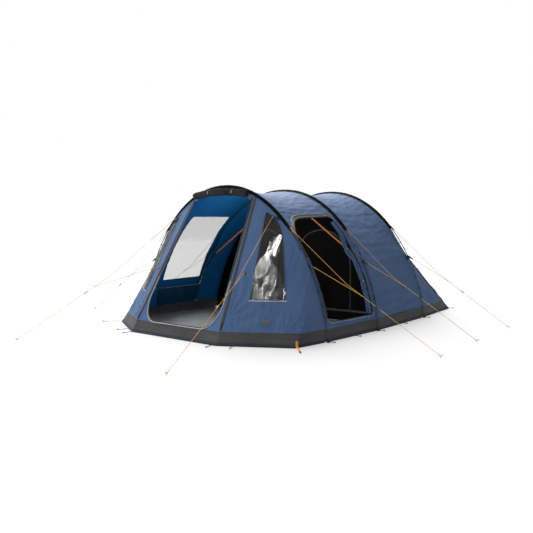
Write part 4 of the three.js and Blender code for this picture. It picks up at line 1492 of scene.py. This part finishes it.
def build_door_surround():
    edge = BAY_STATION - 0.002
    face = grid(BAY.above_skirt, span(-edge, edge, 110), span(0, 1, 90))
    panel = Cloth("door_surround", face, LOOKS.fly, LOOKS.lit_through_inside, door_relief)
    lintel, sides, corner = doorway_side()
    right = np.array(lintel + sides + corner)
    left = right[1:][::-1] * (-1, 1)
    outline = np.concatenate([right, left])
    cut(panel.piece, "DIFFERENCE", outline, at(0, -1.6), (1, 0, 0), -2.0)
    panel.stands_for("front_door_panel", "stretched", ["sleeve_cover_front"], (4.4, 0.17))

    def on_panel(line, shift=0.0):
        moved = line + unit(line - (0.0, 0.95)) * shift
        return struck_from_front(panel, moved, ORIGIN_Y - 2.0)

    half = np.array(sides + corner)
    whole = np.concatenate([half, half[::-1] * (-1, 1)])
    path, ups = on_panel(spaced(whole, 0.02), 0.012)
    ribbon("front_door_zip_tape", path, ups, 0.026, ZIP_TAPE_THICKNESS, LOOKS.zip_tape, 0.0006)
    path, ups = on_panel(spaced(whole, 0.02), 0.006)
    tube("front_door_zip", path + ups * 0.002, 0.0028, LOOKS.zip_coil, 8)
    low = spaced(np.array([(half[1][0] * 0.975, 0.72), *half[1:]]), 0.015)
    u_line = np.concatenate([low, low[::-1] * (-1, 1)])
    path, ups = on_panel(u_line, 0.020)
    tube("front_door_piping", path + ups * 0.003, 0.0058, LOOKS.piping, 9)

    def seam(side, sign):
        line = BAY.at_height(sign * BAY_STATION, span(0.165, 1.80, 60))
        path = line.copy()
        ups = unit(np.cross(tangents(line, False), np.array([1.0, 0.25 * sign, 0.0])))
        ups = ups * np.sign(-ups[:, 1:2])
        widths = np.interp(span(0, 1, 60), [0, 0.04, 1], [0.012, 0.036, 0.036])
        sections = [[(-w / 2, -0.0015), (-w / 2, 0.0012), (-w / 2 + 0.003, 0.0024),
                     (w / 2 - 0.003, 0.0024), (w / 2, 0.0012), (w / 2, -0.0015)] for w in widths]
        swept(f"bay_seam_tape_{side}", path + ups * 0.003, ups, sections, LOOKS.tape)
        ribbon(f"bay_seam_end_{side}", path[:4] + ups[:4] * 0.006, ups[:4], 0.022, 0.003,
               LOOKS.webbing)

    both_sides(seam)
    return panel


# ---------------------------------------------------------------- skirts and hems


def skirt_relief(seed):
    def relief(s, t):
        rise = np.clip(t / t.max(), 0, 1)
        edge = fade(s / s.max(), 0.01)
        waves = 0.0060 * ripple(s, t, 0.30, 0.09, seed)
        waves = waves + 0.0042 * ridges(s, t + 0.10 * s, 0.45, 0.05, seed + 1)
        return waves * edge * np.sin(math.pi * rise) ** 0.7

    return relief


def build_skirts():
    """The mud bands, each with a blue strip and a black webbing hem along the ground."""
    heights = span(0.002, SKIRT_HEIGHT, 16)
    bay_side = np.concatenate([span(BAY_STATION, BAY_TURN, 70),
                               span(BAY_TURN, WALL_END, 40)[1:]])
    bay_face = span(-BAY_STATION, BAY_STATION, 90)[1:-1]
    bay = np.concatenate([-bay_side[::-1], bay_face, bay_side])
    back = stations(WALL_END, REAR_STATION, 0.009)
    hoops = (FRONT, MIDDLE, REAR)

    def side_band(sign):
        def surface(along, place):
            first = np.minimum(np.floor(along), 1).astype(int)
            ends = np.stack([hoop(pole, place, cloth_inset(place)) for pole in hoops])
            start = np.take_along_axis(ends, first[None, ..., None], 0)[0]
            end = np.take_along_axis(ends, (first + 1)[None, ..., None], 0)[0]
            return sided(start + (end - start) * (along - first)[..., None], sign)

        return grid(surface, span(0.003, 1.997, 240), span(HOOP_FOOT, SKIRT_TOP, 16))

    bands = {
        "front": grid(BAY.at_height, bay, heights),
        "rear": grid(BACK.at_height, back, heights),
        "right": side_band(1.0),
        "left": side_band(-1.0),
    }
    trims = (
        ("strip", 0.034, 0.016, 0.0018, LOOKS.strip),
        ("hem", 0.011, 0.018, 0.0040, LOOKS.webbing),
    )
    for number, (name, points) in enumerate(bands.items()):
        band = Cloth(f"mud_band_{name}", points, LOOKS.skirt, LOOKS.skirt,
                     skirt_relief(31.0 + number))
        band.stands_for(f"skirt_{name}", "hung", ["fly_living"])
        for label, row_height, width, thick, material in trims:
            row = int(np.argmin(np.abs(band.points[len(points) // 2, :, 2] - row_height)))
            path, ups = band.points[2:-2, row], band.normals[2:-2, row]
            path = path.copy()
            path[:, 2] = np.maximum(path[:, 2], width / 2 + 0.001)
            ribbon(f"{label}_{name}", path, ups, width, thick, material, 0.0012)
        ribbon(f"band_seam_{name}", band.points[2:-2, -1], band.normals[2:-2, -1], 0.010, 0.0016,
               LOOKS.skirt, 0.0010)


def build_hem_pegs():
    spots = [
        ("bay_a", (0.711, -0.966), (0.744, -1.120)), ("bay_b", (0.935, -0.867), (1.005, -1.010)),
        ("side_a", (1.688, 0.56), (1.770, 0.575)), ("side_b", (1.702, 1.85), (1.785, 1.86)),
        ("corner", (1.595, 3.835), (1.665, 3.925)), ("back", (0.54, 3.863), (0.56, 3.945)),
    ]

    def each(side, sign):
        for name, start, end in spots:
            loop_peg(f"{name}_{side}", sided(at(*start, 0.012), sign), sided(at(*end), sign))
        corner = at(*BAY_CORNER, 0.030)
        out = at(1.715, -0.660, 0.006)
        web = [corner + (-0.008, 0.008, 0.055), corner, corner + (0.03, -0.03, -0.014),
               (corner + out) / 2, out]
        path = sided(smooth_line(web, 20), sign)
        facing = (0.35 * sign, -0.35, 0.87)
        ribbon(f"corner_web_{side}", path, facing, 0.028, 0.0026, LOOKS.orange)
        loop_peg(f"corner_web_{side}", sided(out + (-0.012, 0.012, 0.004), sign),
                 sided(at(1.752, -0.700), sign))

    both_sides(each)


# ---------------------------------------------------------------- rolled doors


def build_front_roll():
    """The front door rolled up under the hoop, held by two toggled ties."""
    count = 120
    f = span(0, 1, count)
    centre = smooth_line([at(-0.480, -0.074, 1.790), at(-0.2, -0.078, 1.822), at(0, -0.080, 1.832),
                          at(0.2, -0.078, 1.822), at(0.462, -0.074, 1.793)], count)
    angle = whole_turn(40)
    pinch = sum(np.exp(-((f - tie) / 0.018) ** 2) for tie in ROLL_TIES)
    sections = np.zeros((count, len(angle), 2))
    for i in range(count):
        wave = [noise.noise((f[i] * 5 + 2, math.cos(a) * 1.3, math.sin(a) * 1.3)) for a in angle]
        fine = [noise.noise((f[i] * 3 - 5, a * 3.2, 0.5)) for a in angle]
        radius = ROLL_RADIUS * (1 - 0.14 * pinch[i])
        radius = radius + 0.0075 * np.array(wave) + 0.0055 * np.array(fine)
        radius = radius * (0.82 + 0.18 * min(1, min(f[i], 1 - f[i]) / 0.03))
        sections[i] = polar(radius, angle)
    roll = swept("rolled_front", centre, steady_ups(centre), sections, LOOKS.roll, sharp=80)
    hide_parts("rolled_front_door")
    for number, tie in enumerate(ROLL_TIES):
        middle = centre[int(tie * count)]
        turn = whole_turn(32)[:, None]
        ring = middle + 0.0440 * (np.cos(turn) * (0, 1, 0) + np.sin(turn) * (0, 0, 1))
        ups = unit(ring - middle)
        ribbon(f"roll_tie_{number}", ring, ups, 0.010, 0.0022, LOOKS.webbing, closed=True)
        bar = middle + (0, -0.050, 0.004)
        path = bar + span(-0.020, 0.020, 9)[:, None] * np.array([0.25, 0, 0.97])
        toggle(f"roll_toggle_{number}", path)
    for side, sign in reversed(SIDES):
        end = centre[0 if sign < 0 else -1]
        turns = span(0, 5 * math.pi, 90)
        radius = 0.006 + 0.024 * turns / turns.max()
        path = end + np.stack([np.full_like(turns, sign * 0.001), radius * np.cos(turns),
                               radius * np.sin(turns)], -1)
        ribbon(f"roll_end_{side}", path, (sign, 0, 0), 0.0028, 0.003, LOOKS.roll)


def gathered_sections(count, lobes, radius, seed, ties):
    """The outline of gathered cloth at each place along it, drawn in at its ties."""
    angle = whole_turn(64)
    made = np.zeros((count, len(angle), 2))
    for i, share in enumerate(span(0, 1, count)):
        pinch = sum(math.exp(-((share - tie) / 0.020) ** 2) for tie in ties)
        drift = 1.6 * noise.noise((share * 2.4, seed, 0.0))
        fold = np.cos(lobes * angle + drift * 3) * 0.17
        fold = fold + np.cos((lobes + 4) * angle - drift * 5) * 0.09
        spots = [(share * 6, math.cos(a) + seed, math.sin(a)) for a in angle]
        wander = np.array([noise.noise(spot) for spot in spots])
        size = radius * (1 - 0.16 * pinch) * (1 + 1.3 * fold * (1 - 0.4 * pinch) + 0.25 * wander)
        made[i] = polar(size, angle)
    return made


def build_side_roll():
    """The side door gathered back along the doorway's rear edge and tied with toggles."""
    places = span(0.40, 0.872, 130)
    inset = cloth_inset(places) + 0.034
    start = hoop(FRONT, places, inset)
    path = start + (hoop(MIDDLE, places, inset) - start) * 0.915
    sections = gathered_sections(len(places), 7, GATHER_RADIUS, 4.0, GATHER_TIES) * (1.25, 0.85)
    bundle = swept("gathered_side_door", path, steady_ups(path), sections, LOOKS.fly, sharp=80)
    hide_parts("rolled_side_door")
    for number, tie in enumerate(GATHER_TIES):
        middle = int(tie * len(path))
        centre = path[middle]
        ahead = tangents(path, False)[middle]
        ring = ring_about(centre, ahead, 0.027, 28)
        ribbon(f"side_tie_{number}", ring, unit(ring - centre), 0.014, 0.002, LOOKS.tape,
               closed=True)
        out = unit(np.array([1.0, -0.5, 0.1]))
        bar = centre + out * 0.030 + span(-0.018, 0.018, 9)[:, None] * ahead
        toggle(f"side_toggle_{number}", bar)


# ---------------------------------------------------------------- inside


def build_groundsheets():
    margin = LOWER_INSET + 0.016
    corner_y = BAY_CORNER[1] + 0.022
    ys = [BAY_FRONT[1] + 0.018, corner_y, 0.0, MIDDLE.foot_y - ORIGIN_Y, BEDROOM_Y - 0.006]
    halves = [BAY_FRONT[0] - 0.022, BAY_CORNER[0] - margin, FRONT.half_width - margin,
              MIDDLE.half_width - margin, MIDDLE.half_width - margin]

    def plate(ys, halves, height):
        def surface(share, y):
            half = np.interp(y, ys, halves)
            return np.stack([share * half, y + ORIGIN_Y, np.full_like(y, height)], -1)

        return surface

    def crumple(seed):
        def relief(s, t):
            waves = 0.0014 + 0.0022 * ripple(s, t, 0.5, 0.35, seed)
            return waves + 0.0018 * ridges(s, t, 0.6, 0.4, seed + 1)

        return relief

    below = np.array([0.0, ORIGIN_Y + 1.0, -5.0])
    shares = span(-1, 1, 90)
    living = Cloth("groundsheet_living",
                   grid(plate(ys, halves, GROUNDSHEET), shares, span(ys[0], ys[-1], 110)),
                   LOOKS.floor, relief=crumple(41.0), thickness=GROUNDSHEET, centre=below)
    living.stands_for("living_groundsheet", "laid")
    mat_ys = span(ys[0] + 0.02, -0.50, 40)
    mat = Cloth("door_mat", grid(plate(ys, np.array(halves) - 0.10, 0.0075), shares, mat_ys),
                LOOKS.mat, relief=crumple(44.0), thickness=0.0016, centre=below)
    mat.declare()
    back_ys = [BEDROOM_Y + 0.006, REAR.foot_y - ORIGIN_Y, REAR_CORNER[1] - INNER_INSET]
    back_halves = [MIDDLE.half_width - INNER_INSET, REAR.half_width - INNER_INSET,
                   REAR_CORNER[0] - INNER_INSET]
    bedroom = Cloth("groundsheet_bedroom",
                    grid(plate(back_ys, back_halves, GROUNDSHEET), span(-1, 1, 70),
                         span(back_ys[0], back_ys[-1], 80)),
                    LOOKS.floor, relief=crumple(47.0), thickness=GROUNDSHEET, centre=below)
    bedroom.stands_for("bedroom_groundsheet", "laid")


def bedroom_hoop():
    return SimpleNamespace(half_width=MIDDLE.half_width, height=MIDDLE.height, lean=0.0,
                           foot_y=BEDROOM_Y + ORIGIN_Y)


def build_bedroom_wall():
    front = bedroom_hoop()

    def surface(place, rise):
        top = hoop(front, place, INNER_INSET)
        height = BEDROOM_LIFT + (np.maximum(top[..., 2], 0.02) - BEDROOM_LIFT) * rise
        return np.stack([top[..., 0], np.full_like(height, front.foot_y), height], -1)

    def drape(s, t):
        folds = 0.012 * ripple(s, t, 0.16, 1.6, 51.0) + 0.006 * ripple(s, t, 0.06, 0.9, 52.0)
        folds = folds + 0.010 * ridges(s + 0.25 * t, t, 0.35, 0.5, 53.0)
        return folds * within(s, t, 0.02, 0.05)

    behind = TENT_CENTRE + (0, 2.5, 0)
    wall = Cloth("bedroom_wall",
                 grid(surface, span(-WALL_END, WALL_END, 170), span(0, 1, 90)),
                 LOOKS.black, relief=drape, centre=behind)
    wall.stands_for("bedroom_front_wall", "hung", ["bedroom_tent"])

    plane = front.foot_y - 0.5

    def door(side, sign):
        turn = span(0, math.pi, 50)
        arch = np.stack([0.530 + 0.50 * np.cos(turn), 0.80 + 0.53 * np.sin(turn)], -1)
        line = np.vstack([[(1.03, 0.16)], arch, [(0.03, 0.16)]]) * (sign, 1)
        path, ups = struck_from_front(wall, spaced(line, 0.02), plane)
        ribbon(f"bedroom_zip_tape_{side}", path, ups, 0.022, ZIP_TAPE_THICKNESS,
               LOOKS.zip_tape, 0.0006)
        tube(f"bedroom_zip_{side}", path + ups * 0.0025, 0.0030, LOOKS.zip_coil, 8)

    both_sides(door)
    sill = np.stack([span(-1.45, 1.45, 90), np.full(90, 0.155)], -1)
    path, ups = struck_from_front(wall, sill, plane)
    ribbon("bedroom_sill_tape", path, ups, 0.030, 0.003, LOOKS.tape, 0.001)
    return wall


def build_bedroom_shell():
    front = bedroom_hoop()

    def surface(place, along):
        top, ground = BACK.line(BACK.station_of(place), INNER_INSET)
        ground = ground + (0, 0, BEDROOM_LIFT)
        start = hoop(front, place, INNER_INSET) + (0, 2 * HOOP_GAP, 0)
        first = start + (top - start) * np.clip(along, 0, 1)[..., None]
        made = first + (ground - top) * np.clip(along - 1, 0, 1)[..., None]
        made[..., 2] = np.maximum(made[..., 2], BEDROOM_LIFT)
        return made

    def slack(s, t):
        edge = within(s, t, 0.03, 0.02)
        folds = 0.014 * ripple(s, t, 0.3, 0.4, 57.0) + 0.006 * ripple(s, t, 0.1, 0.5, 58.0)
        return -(0.014 + folds) * edge

    shell = Cloth("bedroom_tent", grid(surface, span(-0.975, 0.975, 120), span(0, 2, 90)),
                  LOOKS.black, relief=slack)
    shell.stands_for("bedroom_shell", "hung", ["fly_bedroom"])


def build_pocket():
    """The pocket panel on the left wall: pinned round its edge, and let sag by simulation."""
    rows, columns = 44, 18
    places = span(-0.795, -0.905, columns)
    alongs = span(0.18, 0.99, rows)
    u, v = np.meshgrid(alongs, places, indexing="ij")
    inset = 0.020
    start, end = (hoop(pole, v, cloth_inset(v) + inset) for pole in (FRONT, MIDDLE))
    points = start + (end - start) * u[..., None]
    mesh = bpy.data.meshes.new("pocket_start")
    index = np.arange(rows * columns).reshape(rows, columns)
    slack = points.copy()
    along = np.sin(span(0, 3 * math.pi, rows))[:, None] ** 2
    wave = along * np.sin(span(0, math.pi, columns))
    slack[..., 0] += 0.030 * wave
    mesh.from_pydata([tuple(p) for p in slack.reshape(-1, 3)], [], [tuple(q) for q in quads(index)])
    cloth = linked("pocket_start", mesh)
    pins = cloth.vertex_groups.new(name="pins")
    held = set(index[:, -1]) | set(index[0]) | set(index[-1]) | set(index[::14, 0])
    pins.add([int(i) for i in held], 1.0, "REPLACE")
    modifier = cloth.modifiers.new("cloth", "CLOTH")
    modifier.settings.quality = 6
    modifier.settings.mass = 0.15
    modifier.settings.vertex_group_mass = "pins"
    modifier.settings.bending_stiffness = 0.1
    modifier.point_cache.frame_end = 30
    scene = bpy.context.scene
    for step in range(1, 31):
        scene.frame_set(step)
    graph = bpy.context.evaluated_depsgraph_get()
    settled = bpy.data.meshes.new_from_object(cloth.evaluated_get(graph))
    co = np.zeros(rows * columns * 3, np.float32)
    settled.vertices.foreach_get("co", co)
    scene.frame_set(1)
    bpy.data.objects.remove(cloth)
    shape = co.reshape(rows, columns, 3).astype(float)
    pocket = Cloth("pocket_panel", shape, LOOKS.lining_dark, thickness=0.0014)
    pocket.declare()
    top = shape[:, 0]
    inward = unit(np.array([1.0, 0.0, 0.3]))
    tube("pocket_edge", top + inward * 0.002, 0.0042, LOOKS.weld, 8)


def build_straps():
    def each(side, sign):
        low, high = at(1.345, 1.240, 0.945), at(0.045, 1.300, 1.868)
        f = span(0, 1, 40)[:, None]
        path = sided(low + (high - low) * f + (0, 0, -0.012) * np.sin(math.pi * f), sign)
        twist = span(0, 0.5, 40)[:, None]
        turned = np.array([0.5 * sign, 0, 0.8])
        ups = unit(np.array([0.0, 1.0, 0.0]) * np.cos(twist) + turned * np.sin(twist))
        strap = ribbon(f"tension_web_{side}", path, ups, 0.024, 0.0018, LOOKS.strap)
        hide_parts(f"tension_strap_{side}")
        ahead = unit(path[0] - path[3])
        buckle = path[0] + ahead * span(-0.012, 0.036, 7)[:, None]
        ribbon(f"tension_buckle_{side}", buckle, ups[0], 0.030, 0.0060, LOOKS.plastic)
        anchor = path[0] + ahead * 0.034
        wall = sided(hoop(MIDDLE, 0.70, 0.035), sign)
        tie = smooth_line([anchor, (anchor + wall) / 2 + (0, 0, -0.01), wall], 12)
        ribbon(f"tension_tie_{side}", tie, ups[0], 0.020, 0.0020, LOOKS.webbing)

    both_sides(each)


def build_inner_bands():
    """Dark bands of cloth inside the fly, under the front and middle hoops."""
    for pole, shift in ((MIDDLE, -0.040), (FRONT, 0.045)):
        for side, sign in SIDES:
            places = span(0.0, 0.86, 80)
            path = sided(hoop(pole, places, cloth_inset(places) + 0.012), sign) + (0, shift, 0)
            deeper = sided(hoop(pole, places, cloth_inset(places) + 0.022), sign) + (0, shift, 0)
            ribbon(f"inner_band_{pole.name}_{side}", path, unit(deeper - path), 0.055, 0.0016,
                   LOOKS.lining_dark)


# ---------------------------------------------------------------- sewn details


def build_roof_seams(living, bedroom):
    rows = ((living, FRONT, MIDDLE, "living"), (bedroom, MIDDLE, REAR, "bedroom"))
    seams = (
        ("roof", ROOF_SEAM, 0.015, 0.013, 0.0015),
        ("low", SKIRT_TOP - 0.004, 0.01, 0.012, 0.0018),
    )
    for cloth, front, back, label in rows:
        for kind, place, gap, width, thickness in seams:
            for side, sign in SIDES:
                if (kind, label, side) == ("low", "living", "right"):
                    continue
                line = tunnel(front, back, np.full(50, sign * place), span(gap, 1 - gap, 50))
                path, ups = cloth.nearest(line)
                ribbon(f"{kind}_seam_{label}_{side}", path, ups, width, thickness,
                       LOOKS.fly_seam, 0.0008)


def build_guy_patches(bays):
    def each(side, sign):
        upper = sided(at(*BOW_UPPER), sign)
        spots = sided(span(at(0.965, -0.012, 1.485), at(0.872, -0.085, 1.480), 12), sign)
        path, ups = bays[side].nearest(spots)
        sections = tapered(span(0.075, 0.022, len(path)), -0.001, 0.0016, 0.002)
        swept(f"bow_patch_{side}", path + ups * 0.002, ups, sections, LOOKS.lining_dark)
        cord_loop(f"bow_loop_{side}", path[-1], upper, (0, 0, 0.008), 22)
        lower = sided(at(*BOW_LOWER), sign)
        near, _ = bays[side].nearest([lower])
        cord_loop(f"bow_low_loop_{side}", near[0], lower, (0, 0, 0.010), 22)
        spots = near[0] + span(-0.02, 0.02, 6)[:, None] * np.array([0, 0, 1.0])
        path, ups = bays[side].nearest(spots)
        ribbon(f"bow_low_tab_{side}", path, ups, 0.024, 0.0022, LOOKS.webbing, 0.0014)

    both_sides(each)


def build_label(bays):
    """A plain blank patch low on the bay's side."""
    base, turn = at(1.20, -0.62, 0.300), np.array([0.875, 0.485, 0.0])
    spots = base + span(-0.050, 0.050, 10)[:, None] * turn
    near, facing = bays["right"].nearest(spots)
    path = span(near[0], near[-1], 10) + facing.mean(0) * 0.004
    ribbon("blank_label", path, unit(facing.mean(0)), 0.056, 0.0014, LOOKS.label, 0.0012)


# ---------------------------------------------------------------- assembly

build_world()
build_lights()
build_floor()
build_guys()
dress_cad_nodes()
for each_pole in POLES:
    build_sleeve(each_pole)
    build_pole_fittings(each_pole)
build_end_band()
living_fly = build_living_fly()
bedroom_fly = build_bedroom_fly()
build_rear()
bay_sides = build_bay_sides()
build_door_surround()
build_skirts()
build_hem_pegs()
build_front_roll()
build_side_roll()
build_groundsheets()
build_bedroom_wall()
build_bedroom_shell()
build_pocket()
build_straps()
build_inner_bands()
build_roof_seams(living_fly, bedroom_fly)
build_guy_patches(bay_sides)
build_label(bay_sides)
